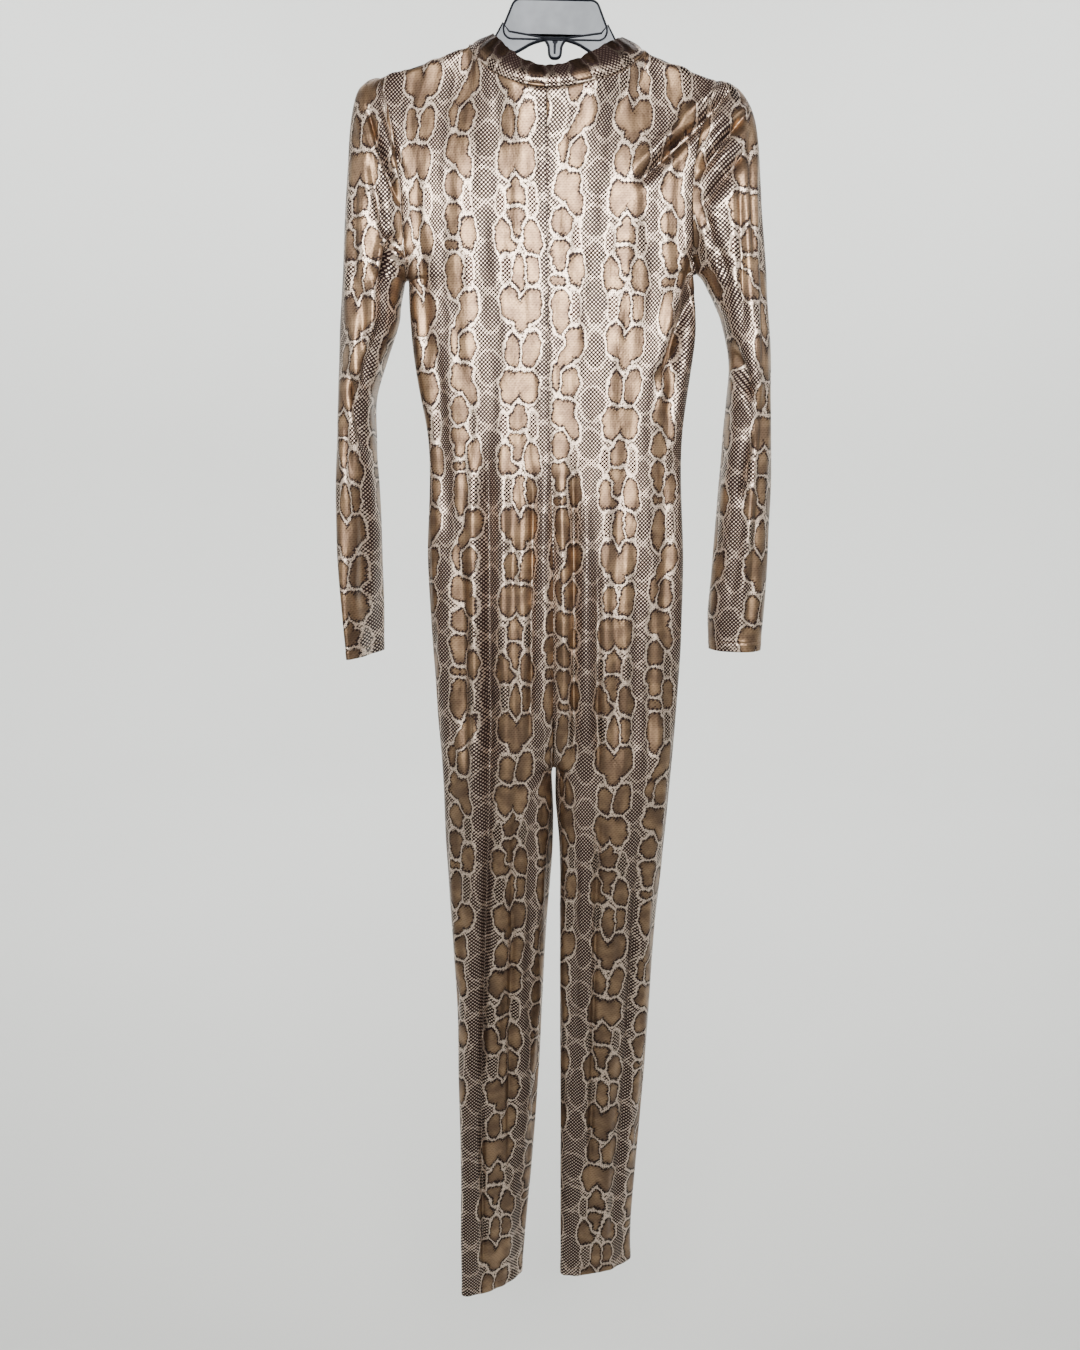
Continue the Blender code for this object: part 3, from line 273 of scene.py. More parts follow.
CREASES = (
    # The folds that the solids have too
    Crease(F, 0.1760, -0.1580, 0.0863, -0.2467, 0.0085, 0.0062),
    Crease(F, 0.1934, -0.1812, 0.1485, -0.2370, 0.0055, 0.0055),
    Crease(F, 0.1960, -0.2176, 0.1500, -0.2712, 0.0040, 0.0070),
    Crease(F, 0.1482, -0.3559, 0.1139, -0.4481, 0.0065, 0.0080),
    Crease(F, 0.1880, -0.4125, 0.2080, -0.4693, 0.0050, 0.0070),
    Crease(F, 0.2116, -0.5112, 0.1990, -0.5755, 0.0040, 0.0070),
    Crease(F, -0.1963, -0.1773, -0.1659, -0.2663, 0.0050, 0.0050),
    Crease(F, -0.1720, -0.3008, -0.1850, -0.3458, 0.0060, 0.0060),
    Crease(F, -0.2230, -0.4400, -0.2100, -0.5200, 0.0040, 0.0070),
    Crease(F, -0.0756, -0.5272, -0.0780, -0.9151, 0.0075, 0.0085),
    Crease(F, -0.0780, -0.9160, -0.0923, -1.2950, 0.0060, 0.0080),
    Crease(F, -0.0923, -1.2960, -0.0914, -1.5415, 0.0040, 0.0075),
    Crease(F, -0.0260, -0.5538, -0.0307, -0.8400, 0.0045, 0.0065),
    Crease(F, 0.0175, -0.5538, 0.0194, -0.8600, 0.0050, 0.0065),
    Crease(F, 0.0440, -0.6404, 0.0468, -0.8913, 0.0035, 0.0065),
    Crease(F, 0.0881, -0.6406, 0.0884, -0.9157, 0.0035, 0.0080),
    Crease(F, -0.1052, -0.6411, -0.1047, -0.8937, 0.0035, 0.0075),
    Crease(F, -0.0485, -0.9176, -0.0606, -1.4069, 0.0032, 0.0080),
    Crease(F, 0.0473, -0.9176, 0.0410, -1.4346, 0.0040, 0.0085),
    Crease(F, 0.0969, -0.9450, 0.0786, -1.4140, 0.0034, 0.0080),
    Crease(B, -0.0450, -0.3300, -0.0700, -0.5600, 0.0040, 0.0120),
    Crease(B, 0.0800, -0.4800, 0.0720, -0.8600, 0.0060, 0.0090),
    Crease(B, 0.0350, -0.6000, 0.0300, -0.8700, 0.0045, 0.0080),
    Crease(B, -0.0380, -0.5800, -0.0420, -0.8800, 0.0050, 0.0085),
    Crease(B, -0.0900, -0.6200, -0.0860, -0.9200, 0.0040, 0.0085),
    Crease(B, 0.0650, -0.9200, 0.0550, -1.3800, 0.0045, 0.0085),
    Crease(B, -0.0700, -0.9300, -0.0840, -1.4200, 0.0045, 0.0085),
    Crease(B, 0.1850, -0.1900, 0.1350, -0.2700, 0.0050, 0.0070),
    Crease(B, -0.1950, -0.1850, -0.1500, -0.2650, 0.0050, 0.0070),
    Crease(B, 0.2080, -0.4300, 0.2180, -0.5200, 0.0040, 0.0080),
    Crease(B, -0.2180, -0.4300, -0.2250, -0.5300, 0.0040, 0.0080),
    # Finer ones on the photographed side: shoulder and cap of the left sleeve
    Crease(F, 0.1800, -0.1640, 0.1100, -0.2080, -0.0022, 0.0040),
    Crease(F, 0.1990, -0.1700, 0.1640, -0.2050, -0.0020, 0.0035),
    Crease(F, 0.2010, -0.1980, 0.2070, -0.3300, 0.0028, 0.0042),
    Crease(F, 0.1900, -0.2500, 0.1970, -0.3900, 0.0030, 0.0045),
    Crease(F, 0.2130, -0.2300, 0.2200, -0.4300, 0.0020, 0.0035),
    Crease(F, 0.1560, -0.2800, 0.1760, -0.3350, 0.0040, 0.0040),
    Crease(F, 0.1640, -0.2960, 0.1760, -0.3520, -0.0025, 0.0035),
    Crease(F, 0.1480, -0.3000, 0.1350, -0.3800, 0.0030, 0.0050),
    Crease(F, 0.1320, -0.3700, 0.1200, -0.4900, 0.0030, 0.0060),
    Crease(F, 0.1400, -0.4000, 0.1280, -0.5200, -0.0015, 0.0045),
    Crease(F, 0.1960, -0.4300, 0.2180, -0.4900, 0.0028, 0.0050),
    Crease(F, 0.2240, -0.4500, 0.2180, -0.6200, 0.0022, 0.0045),
    Crease(F, 0.2060, -0.5700, 0.1930, -0.6900, 0.0024, 0.0055),
    Crease(F, 0.2180, -0.6000, 0.2140, -0.7200, 0.0016, 0.0045),
    # Cap, underarm loop and elbow of the right sleeve
    Crease(F, -0.1817, -0.1697, -0.1610, -0.2419, 0.0030, 0.0035),
    Crease(F, -0.2030, -0.1820, -0.1790, -0.2620, 0.0026, 0.0035),
    Crease(F, -0.1950, -0.2250, -0.1800, -0.3000, 0.0030, 0.0040),
    Crease(F, -0.1902, -0.3414, -0.1835, -0.3060, -0.0040, 0.0032),
    Crease(F, -0.1835, -0.3050, -0.1640, -0.3260, -0.0040, 0.0032),
    Crease(F, -0.1930, -0.3480, -0.1960, -0.4050, -0.0026, 0.0040),
    Crease(F, -0.2100, -0.2500, -0.2150, -0.3900, 0.0022, 0.0045),
    Crease(F, -0.2060, -0.3500, -0.2060, -0.4600, 0.0030, 0.0050),
    Crease(F, -0.1900, -0.3900, -0.2060, -0.4500, 0.0030, 0.0045),
    Crease(F, -0.2290, -0.4700, -0.2200, -0.6000, 0.0024, 0.0050),
    Crease(F, -0.2130, -0.5300, -0.2180, -0.6900, 0.0022, 0.0045),
    # The darkest lines, narrow at the bottom of the widest troughs
    Crease(F, 0.1740, -0.1600, 0.0900, -0.2430, 0.0034, 0.0024),
    Crease(F, 0.1930, -0.1815, 0.1500, -0.2350, 0.0030, 0.0024),
    Crease(F, 0.1950, -0.2180, 0.1520, -0.2690, 0.0026, 0.0026),
    Crease(F, 0.1480, -0.3560, 0.1150, -0.4440, 0.0028, 0.0030),
    Crease(F, -0.0756, -0.5400, -0.0780, -0.9100, 0.0030, 0.0032),
    Crease(F, -0.0785, -0.9200, -0.0920, -1.2900, 0.0028, 0.0030),
    Crease(F, -0.0920, -1.3000, -0.0914, -1.5300, 0.0022, 0.0030),
    Crease(F, -0.0262, -0.5700, -0.0305, -0.8300, 0.0026, 0.0028),
    Crease(F, 0.0178, -0.5700, 0.0192, -0.8500, 0.0026, 0.0028),
    Crease(F, 0.0445, -0.6500, 0.0468, -0.8900, 0.0022, 0.0028),
    Crease(F, 0.0470, -0.9300, 0.0412, -1.4200, 0.0022, 0.0030),
    Crease(F, -0.0485, -0.9300, -0.0600, -1.4000, 0.0022, 0.0030),
    Crease(F, 0.0960, -0.9500, 0.0786, -1.4100, 0.0020, 0.0030),
    Crease(F, -0.1960, -0.1780, -0.1665, -0.2650, 0.0026, 0.0024),
    Crease(F, -0.1725, -0.3020, -0.1845, -0.3440, 0.0034, 0.0026),
    Crease(F, -0.2225, -0.4420, -0.2105, -0.5180, 0.0022, 0.0028),
    Crease(F, 0.2110, -0.5120, 0.1992, -0.5740, 0.0022, 0.0028),
    Crease(F, 0.1885, -0.4140, 0.2075, -0.4680, 0.0026, 0.0028),
    # Body and legs
    Crease(F, -0.1450, -0.2900, -0.1400, -0.4300, 0.0022, 0.0060),
    Crease(F, -0.1300, -0.4100, -0.1180, -0.6200, 0.0026, 0.0070),
    Crease(F, -0.0033, -0.5538, -0.0034, -0.8560, 0.0035, 0.0060),
    Crease(F, 0.1059, -0.6856, 0.1047, -0.8937, 0.0028, 0.0060),
    Crease(F, 0.0660, -0.5400, 0.0680, -0.8800, 0.0018, 0.0070),
    Crease(F, 0.1180, -0.5200, 0.1220, -0.8300, 0.0018, 0.0060),
    Crease(F, -0.0600, -0.5000, -0.0560, -0.9100, -0.0020, 0.0060),
    Crease(F, -0.0930, -0.5300, -0.0920, -0.9400, -0.0020, 0.0060),
    Crease(F, 0.0310, -0.5700, 0.0330, -0.8900, -0.0020, 0.0055),
    Crease(F, -0.1200, -0.8200, -0.1120, -1.1200, 0.0020, 0.0060),
    Crease(F, -0.0280, -0.9300, -0.0380, -1.2500, 0.0018, 0.0060),
    Crease(F, -0.0660, -1.1500, -0.0760, -1.5200, 0.0018, 0.0065),
    Crease(F, -0.1060, -1.2500, -0.1080, -1.5400, 0.0016, 0.0050),
    Crease(F, 0.0220, -0.9600, 0.0230, -1.3600, 0.0020, 0.0060),
    Crease(F, 0.0660, -0.9800, 0.0580, -1.5100, -0.0018, 0.0060),
    Crease(F, 0.0780, -1.2200, 0.0700, -1.5200, 0.0018, 0.0060),
    Crease(F, 0.0300, -1.3300, 0.0280, -1.5200, 0.0018, 0.0060),
    # The hidden side
    Crease(B, 0.1200, -0.2600, 0.1000, -0.4300, 0.0028, 0.0070),
    Crease(B, -0.1280, -0.2700, -0.1050, -0.4500, 0.0030, 0.0070),
    Crease(B, 0.1080, -0.5600, 0.1020, -0.9000, 0.0030, 0.0070),
    Crease(B, -0.0640, -0.5400, -0.0640, -0.9000, -0.0022, 0.0060),
    Crease(B, 0.0540, -0.5600, 0.0500, -0.8900, -0.0022, 0.0060),
    Crease(B, -0.1120, -0.7000, -0.1060, -1.1000, 0.0024, 0.0065),
    Crease(B, 0.0300, -0.9400, 0.0280, -1.2600, 0.0022, 0.0060),
    Crease(B, 0.0850, -1.0000, 0.0720, -1.4300, 0.0022, 0.0065),
    Crease(B, -0.0460, -0.9500, -0.0620, -1.3400, 0.0024, 0.0065),
    Crease(B, 0.2000, -0.2200, 0.2060, -0.3700, 0.0028, 0.0050),
    Crease(B, -0.2050, -0.2300, -0.2100, -0.3800, 0.0028, 0.0050),
    Crease(B, 0.1700, -0.3000, 0.1900, -0.3700, 0.0040, 0.0050),
    Crease(B, -0.1800, -0.3100, -0.1950, -0.3800, 0.0040, 0.0050),
    Crease(B, 0.2220, -0.5200, 0.2050, -0.6500, 0.0024, 0.0055),
    Crease(B, -0.2180, -0.5400, -0.2260, -0.6800, 0.0022, 0.0050),
)


def smooth_step(x: Array) -> Array:
    """0 below 0, 1 above 1, and level at both ends."""
    x = np.clip(x, 0.0, 1.0)
    return x * x * (3.0 - 2.0 * x)


def hermite(knots: Array, values: Array, at: Array) -> Array:
    """The cubic curve through values at rising knots.

    Between two knots it is the cubic that has both values and the slopes of np.gradient.
    """
    slopes = np.gradient(values, knots)
    at = np.clip(at, knots[0], knots[-1])
    k = np.clip(np.searchsorted(knots, at) - 1, 0, len(knots) - 2)
    span = knots[k + 1] - knots[k]
    t = (at - knots[k]) / span
    ends = values[k] * (1 + 2 * t) * (1 - t) ** 2 + values[k + 1] * t * t * (3 - 2 * t)
    return ends + span * (slopes[k] * t * (1 - t) ** 2 - slopes[k + 1] * t * t * (1 - t))


def through(rows: Sequence, column: str, z: Array) -> Array:
    """The cubic curve through a table's column, read at heights z."""
    knots = np.array([row.z for row in rows])[::-1]
    values = np.array([getattr(row, column) for row in rows])[::-1]
    return hermite(knots, values, z)


def lengths(points: Array, axis: int) -> Array:
    """How far each point of a grid lies from its line's first one, along the cloth.

    Args:
        points: rows by columns by 3.
        axis: 0 down the columns or 1 along the rows.
    """
    step = np.linalg.norm(np.diff(points, axis=axis), axis=2)
    return np.cumsum(np.insert(step, 0, 0.0, axis=axis), axis=axis)


@dataclass
class ClothGrid:
    """A stretch of cloth on a grid, rows down it and columns across.

    Args:
        name: the piece's name.
        points: rows by columns by 3, the middle of the cloth's wall.
        closed: whether the columns go all the way round.
        outward: 1 or -1, the way that the faces are wound.
        uv: rows by columns by 2, metres of cloth across and down. A closed grid has one
            column more, and its halves before and after split_column differ by uv_turn.
        split_column: the column where the seam of a tube's print lies.
        uv_turn: the tube's girth at each row.
    """

    name: str
    points: Array
    closed: bool
    outward: int
    uv: Array
    split_column: int = 0
    uv_turn: Array | None = None


@dataclass
class Pattern:
    """The cut of the garment: every surface as a function of rows and columns.

    Rows are counted as on the solids, so whole numbers fall on the solids' own points.
    """

    sub: int = 8
    columns: int = 56
    armhole_rows: int = 10
    torso_rows: int = 16
    leg_rows: int = 20
    crotch_curve_rows: int = 4
    top_ease: float = 1.7
    neck_share: float = 0.5
    chest_z: float = -0.338
    crotch_z: float = -0.884
    crotch_rise: float = 0.075
    arch_radius: float = 0.0025
    arch_drops: tuple[float, float] = (0.3, 1.6)
    inseam_settle: float = 0.06
    side_settle: float = 0.05
    lean_settle: float = 0.10
    shoulder_radius: float = 0.0065
    yoke_drop: float = 0.13
    armhole_half_depth: float = 0.022
    dome_above_underarm: float = 0.09
    dome_settle: float = 0.16
    torso_power: float = 2.4
    leg_power: float = 2.2
    neck_power: float = 0.75
    sleeve_settle_rings: float = 6.0
    ring_sub: int = 12
    neck_side_x: float = 0.092
    neck_depths: tuple[float, float] = (0.036, 0.038)
    neck_drops: tuple[float, float] = (0.047, 0.040)
    rim_half_width: float = 0.068
    rim_side_z: float = -0.1005
    rim_depths: tuple[float, float] = (0.029, 0.030)
    rim_drops: tuple[float, float] = (0.036, 0.024)
    rim_power: float = 2.4
    band_swell: float = 0.0025
    band_rows: int = 14
    tilt: float = math.radians(-1.1)
    arms_below_rail: float = 0.13
    arm_start: tuple[float, float] = (0.0625, -0.102)
    arm_slope: float = 0.42
    arm_ease: float = 0.529
    arm_to_cloth: float = 0.0018
    edge_columns: tuple[float, ...] = (0.0045, 0.0090, 0.0140)
    oval_drop: float = 0.029
    back_print_drop: float = 0.094
    least_oval_width: float = 0.012
    least_oval_depth: float = 0.6

    def rows(self) -> Array:
        """Fractional rows: evenly fine, and finer still over the last one, at the hem."""
        last = self.armhole_rows + self.torso_rows + self.leg_rows
        fine = np.arange((last - 1) * self.sub + 1) / self.sub
        return np.concatenate([fine, last - 1 + np.arange(1, 3 * self.sub + 1) / (3 * self.sub)])

    def across(self) -> Array:
        """Column places from 0 to 1, closer together beside both seams."""
        even = np.arange(self.columns + 1) / self.columns
        edge = np.array(self.edge_columns)
        return np.unique(np.round(np.concatenate([even, edge, 1 - edge]), 6))

    def arch(self, drop: Array) -> Array:
        """How far a round arch has opened at a drop below its top."""
        left = 1.0 - np.clip(drop / self.arch_radius, 0.0, 1.0)
        return self.arch_radius * np.sqrt(1.0 - left * left)

    def arm_level(self, reach: Array) -> Array:
        """Height of the level hanger's arm top at a reach: a slope that eases."""
        past = np.maximum(reach - self.arm_start[0], 0.0)
        return self.arm_start[1] - self.arm_slope * past + self.arm_ease * past * past

    def shoulder_line(self, x: Array) -> Array:
        """Middle of the cloth where it lies over the tilted hanger's arms."""
        swung = x + self.arms_below_rail * math.sin(-self.tilt)
        return self.arm_level(np.abs(swung)) + x * math.tan(self.tilt) + self.arm_to_cloth

    def fractions(self, side: Side) -> Array:
        """Where each column crosses each row, from 0 at the inner edge to 1 at the outer."""
        v = self.across()
        centre = CENTRE_SEAM[0].x
        neck = (side.sign * self.neck_side_x - centre) / (side.shoulder_x - centre)
        round_neck = neck * np.sin(math.pi / 2 * np.minimum(v / self.neck_share, 1.0))
        shoulder = neck + (1 - neck) * (v - self.neck_share) / (1 - self.neck_share)
        top = np.where(v <= self.neck_share, round_neck, shoulder)
        lower = 0.5 * v + 0.25 * (1 - np.cos(math.pi * v))
        blend = smooth_step(self.rows() / self.armhole_rows)[:, None]
        return top * (1 - blend) + lower * blend

    def top_edge(self, side: Side, face: Face, u: Array) -> tuple[Array, Array]:
        """Height and depth of the neck seam and shoulder seam along the top row."""
        centre = CENTRE_SEAM[0].x
        which = 0 if face is Face.FRONT else 1
        x = centre + (side.shoulder_x - centre) * u
        reach = side.sign * self.neck_side_x
        across = np.clip((x - centre) / (reach - centre), 0.0, 1.0)
        ends = self.shoulder_line(-self.neck_side_x) + self.shoulder_line(self.neck_side_x)
        middle_z = ends / 2 - self.neck_drops[which]
        side_z = self.shoulder_line(reach)
        round_part = 1 - across * across
        neck_z = side_z + (middle_z - side_z) * round_part ** self.neck_power
        z = np.where(across < 1.0, neck_z, self.shoulder_line(x))
        return z, self.neck_depths[which] * np.sqrt(round_part)

    def heights(self, side: Side, top_z: Array, u: Array) -> Array:
        """Heights of all points: close together at the underarm's and the crotch's arches."""
        arm, crotch = self.armhole_rows, self.armhole_rows + self.torso_rows
        last = crotch + self.leg_rows
        rows = self.rows()
        even = np.interp(rows, [arm, crotch, last], [self.chest_z, self.crotch_z, side.hem_z])
        first, second = (drop * self.arch_radius for drop in self.arch_drops)
        top = side.underarm_z
        outer = np.interp(rows, [arm, arm + 1, arm + 2, crotch, last],
                          [top, top - first, top - second, self.crotch_z, side.hem_z])
        start = crotch - self.crotch_curve_rows
        turn = np.clip((rows - start) / self.crotch_curve_rows, 0.0, 1.0) * math.pi / 2
        above = np.interp(rows, [arm, start], [self.chest_z, self.crotch_z + self.crotch_rise])
        curve = self.crotch_z + self.crotch_rise * (1 - np.sin(turn))
        below = np.interp(rows, [crotch, crotch + 1, crotch + 2, last],
                          [self.crotch_z, self.crotch_z - first, self.crotch_z - second, side.hem_z])
        inner = np.where(rows > crotch, below, np.where(rows > start, curve, above))
        z = even[:, None] + (inner - even)[:, None] * (1 - u) ** 3 + (outer - even)[:, None] * u ** 3
        part = np.clip(rows / arm, 0.0, 1.0)[:, None]
        round_part = (1 - np.cos(math.pi * part)) / 2
        close_top = part ** self.top_ease
        share = close_top + (round_part - close_top) * u ** 3
        chest = self.chest_z + (side.underarm_z - self.chest_z) * u
        return np.where(rows[:, None] <= arm, top_z + (chest - top_z) * share, z)

    def outer_edge(self, side: Side, z: Array) -> Array:
        """X of the armhole seam, and below the underarm of the side seam."""
        top = self.shoulder_line(side.shoulder_x)
        part = np.clip((top - z) / (top - side.underarm_z), 0.0, 1.0)
        armhole = side.underarm_x + (side.shoulder_x - side.underarm_x) * (1 - part) ** 3
        armhole = armhole - side.sign * side.armhole_bow * 4 * part * (1 - part)
        start = side.underarm_x - side.sign * self.arch(side.underarm_z - z)
        settle = smooth_step((side.underarm_z - z) / self.side_settle)
        seam = start + (through(side.outline, "side", z) - start) * settle
        return np.where(z >= side.underarm_z, armhole, seam)

    def inner_edge(self, side: Side, z: Array) -> Array:
        """X of the centre seam, and below the crotch of the inseam."""
        start = CENTRE_SEAM[-1].x + side.sign * self.arch(self.crotch_z - z)
        settle = smooth_step((self.crotch_z - z) / self.inseam_settle)
        below = start + (through(side.outline, "inseam", z) - start) * settle
        return np.where(z >= self.crotch_z, through(CENTRE_SEAM, "x", z), below)

    def panel(self, side: Side, face: Face) -> ClothGrid:
        """One body panel, shoulder to ankle.

        A section is a flat dome across half the torso. Towards the crotch its inner edge
        goes in and under, and below the crotch it is half of an oval round the leg.
        """
        u = self.fractions(side)
        centre = CENTRE_SEAM[0].x
        top_z, top_y = self.top_edge(side, face, u[0])
        z = self.heights(side, top_z, u)
        x_in, x_out = self.inner_edge(side, z), self.outer_edge(side, z)
        x = x_in + (x_out - x_in) * u
        x[0] = centre + (side.shoulder_x - centre) * u[0]
        full = through(DEPTHS, face.name.lower(), z)
        part = np.clip((top_z - z) / (top_z - side.underarm_z), 0.0, 1.0)
        armhole_y = self.armhole_half_depth * 2 * np.sqrt(part * (1 - part))
        dome = (1 - u ** self.torso_power) ** (1 / self.torso_power)
        oval = np.maximum(1 - np.abs(2 * u - 1) ** self.leg_power, 0.0) ** (1 / self.leg_power)
        closing = smooth_step((side.underarm_z + self.dome_above_underarm - z) / self.dome_settle)
        gentle = 1 - u * u
        torso = gentle + (dome - gentle) * closing
        climb = np.clip((z - self.crotch_z) / self.crotch_rise, 0.0, 1.0)
        soft, round_in = smooth_step(climb), np.sqrt(1 - (1 - climb) ** 2)
        shape = oval + (torso - oval) * (soft + (round_in - soft) * (1 - u) ** 4)
        flatter = self.armhole_half_depth * 4 * part * (1 - part)
        armhole_y = flatter + (armhole_y - flatter) * u ** 6
        section = armhole_y + (full - armhole_y) * shape
        drop = np.maximum(top_z - z, 0.0)
        left = 1 - np.clip(drop / self.shoulder_radius, 0.0, 1.0)
        yoke = np.hypot(top_y, self.shoulder_radius * np.sqrt(1 - left * left))
        yoke = yoke + (armhole_y - yoke) * u ** 4
        depth = yoke + (section - yoke) * smooth_step(drop / self.yoke_drop)
        lean = through(side.outline, "lean", z) * smooth_step((self.crotch_z - z) / self.lean_settle)
        y = face.value * depth + lean * (x - (x_in + x_out) / 2)
        points = np.stack([x, y, z], axis=-1)
        name = f"{face.name.lower()}_{side.name}"
        return ClothGrid(name, points, False, side.sign * face.value,
                         self.panel_uv(side, face, points))

    def panel_uv(self, side: Side, face: Face, points: Array) -> Array:
        """Metres of cloth across from the print's main column, and down from its first oval.

        Across is the length along each row, so the print keeps its size round the body.
        """
        run = lengths(points, 1)
        lines = through(side.print_line, "x", points[..., 2].mean(axis=1))
        start = np.array([
            np.interp(side.sign * line, side.sign * row[:, 0], length)
            for line, row, length in zip(lines, points, run)
        ])
        across = (run - start[:, None]) * side.sign * -face.value
        down = side.print_drop - points[..., 2] + self.oval_drop
        if face is Face.BACK:
            down = down + self.back_print_drop
        return np.stack([across, down], axis=-1)

    def sleeve(self, side: Side, front: ClothGrid, back: ClothGrid) -> ClothGrid:
        """A sleeve from its armhole to its cuff, round from the outer end over the front.

        A section is an oval between its outer and inner ends, which a cubic curve through
        the table's rings gives, and the first rings follow the armhole itself.
        """
        rows = self.rows()
        count = int(np.sum(rows <= self.armhole_rows))
        armhole = np.concatenate([front.points[:count, -1], back.points[count - 2:0:-1, -1]])
        turn = math.pi * rows[:count] / self.armhole_rows
        angle = np.concatenate([turn, 2 * math.pi - turn[-2:0:-1]])
        table = np.array([[r.outer_x, r.outer_z, r.inner_x, r.inner_z, r.deep, r.lean]
                          for r in side.rings])
        knots = np.arange(len(table), dtype=float)
        end = knots[-1]
        t = np.concatenate([
            np.arange(int(end - 1) * self.ring_sub + 1) / self.ring_sub,
            end - 1 + np.arange(1, 3 * self.ring_sub + 1) / (3 * self.ring_sub),
        ])
        rings = np.stack([hermite(knots, table[:, k], t) for k in range(6)], axis=1)
        outer, inner = rings[:, [0, 1]], rings[:, [2, 3]]
        half = (outer - inner)[:, None, :] / 2 * np.cos(angle)[None, :, None]
        place = (outer + inner)[:, None, :] / 2 + half
        y = -rings[:, 4:5] * np.sin(angle) + rings[:, 5:6] * half[..., 0]
        points = np.stack([place[..., 0], y, place[..., 1]], axis=-1)
        fade = (1 - smooth_step(t / self.sleeve_settle_rings))[:, None, None]
        points = points + (armhole - points[0]) * fade
        return ClothGrid(f"sleeve_{side.name}", points, True, side.sign,
                         *self.sleeve_uv(side, rings, points, count - 1))

    def sleeve_uv(self, side: Side, rings: Array, points: Array, split: int) -> tuple:
        """Print coordinates of a sleeve: round it from the middle of its front, and down.

        At each height the sleeve is an oval between its outer line and its armhole or
        inner line. A point's turn round it comes from how far across that oval it lies.

        Returns:
            The coordinates, the column of the print's own seam, and the girth at each row.
        """
        z = np.concatenate([points[..., 2], points[:, :1, 2]], axis=1)
        x = np.concatenate([points[..., 0], points[:, :1, 0]], axis=1)
        outer = np.interp(-z, -rings[:, 1], rings[:, 0])
        below = np.interp(-z, -rings[:, 3], rings[:, 2])
        inner = np.where(z >= side.underarm_z, self.outer_edge(side, z), below)
        wide = np.maximum(np.abs(outer - inner) / 2, self.least_oval_width)
        deep = np.interp(-z, -rings[:, 1], rings[:, 4])
        radius = (wide + np.maximum(deep, wide * self.least_oval_depth)) / 2
        part = np.clip(side.sign * (x - (outer + inner) / 2) / wide, -1.0, 1.0)
        turn = np.arccos(part)
        columns = np.arange(z.shape[1])
        turn = np.where(columns > split, 2 * math.pi - turn, turn)
        turn[:, 0], turn[:, -1] = 0.0, 2 * math.pi
        shift_x, shift_y = side.sleeve_print
        across = -side.sign * radius * (turn - math.pi / 2) + shift_x
        uv = np.stack([across, shift_y - z], axis=-1)
        return uv, split, -side.sign * 2 * math.pi * radius.mean(axis=1)

    def band(self, panels: dict[tuple[str, Face], ClothGrid]) -> ClothGrid:
        """The neck band, from the neck seam up to its rim.

        A column runs straight from the seam to the rim, swollen outwards between them.
        """
        half = int(np.sum(self.across() <= self.neck_share)) - 1
        places = self.across()[: half + 1] / self.neck_share * math.pi / 2
        edge = {key: grid.points[0] for key, grid in panels.items()}
        seam = np.concatenate([
            edge["right", B][: half + 1], edge["right", F][half - 1::-1],
            edge["left", F][1: half + 1], edge["left", B][half - 1::-1],
        ])
        angle = np.concatenate([
            places - math.pi, -places[half - 1::-1], places[1: half + 1],
            math.pi - places[half - 1::-1],
        ])
        across, along = np.sin(angle), -np.cos(angle)
        front = along < 0
        depth = np.where(front, *self.rim_depths)
        drop = np.where(front, *self.rim_drops)
        middle = edge["right", F][0, 0] * (1 - across * across)
        tilted = across * self.neck_side_x * math.tan(self.tilt)
        rim = np.stack([
            middle + self.rim_half_width * across,
            depth * along,
            self.rim_side_z + tilted - drop * np.abs(along) ** self.rim_power,
        ], axis=-1)
        share = (np.arange(self.band_rows + 1) / self.band_rows)[:, None, None]
        out = np.stack([across, along, 0 * across], axis=-1)
        points = seam + (rim - seam) * share + out * self.band_swell * np.sin(math.pi * share)
        around = np.repeat(lengths(points, 1)[:1], len(points), axis=0)
        print_map = np.stack([around, lengths(points, 0)], axis=-1)
        return ClothGrid("neck_band", points, False, 1, print_map)


def shared_normals(grids: Sequence[ClothGrid]) -> list[Array]:
    """Unit normals of all grids, shared where their points meet.

    Each face's cross product of diagonals is summed at its corners and made unit length.
    """
    flat = np.concatenate([np.round(grid.points.reshape(-1, 3), 6) for grid in grids])
    keys, index = np.unique(flat, axis=0, return_inverse=True)
    index = index.reshape(-1)
    total = np.zeros((len(keys), 3))
    parts = []
    start = 0
    for grid in grids:
        rows, columns = grid.points.shape[:2]
        number = index[start:start + rows * columns].reshape(rows, columns)
        start += rows * columns
        parts.append(number)
        points = grid.points
        if grid.closed:
            number = np.concatenate([number, number[:, :1]], axis=1)
            points = np.concatenate([points, points[:, :1]], axis=1)
        a, b, c, d = points[:-1, :-1], points[:-1, 1:], points[1:, 1:], points[1:, :-1]
        face = (np.cross(c - a, d - b) * grid.outward).reshape(-1, 3)
        corners = (number[:-1, :-1], number[:-1, 1:], number[1:, 1:], number[1:, :-1])
        for corner in corners:
            np.add.at(total, corner.reshape(-1), face)
    total /= np.maximum(np.linalg.norm(total, axis=1, keepdims=True), 1e-12)
    return [total[part] for part in parts]


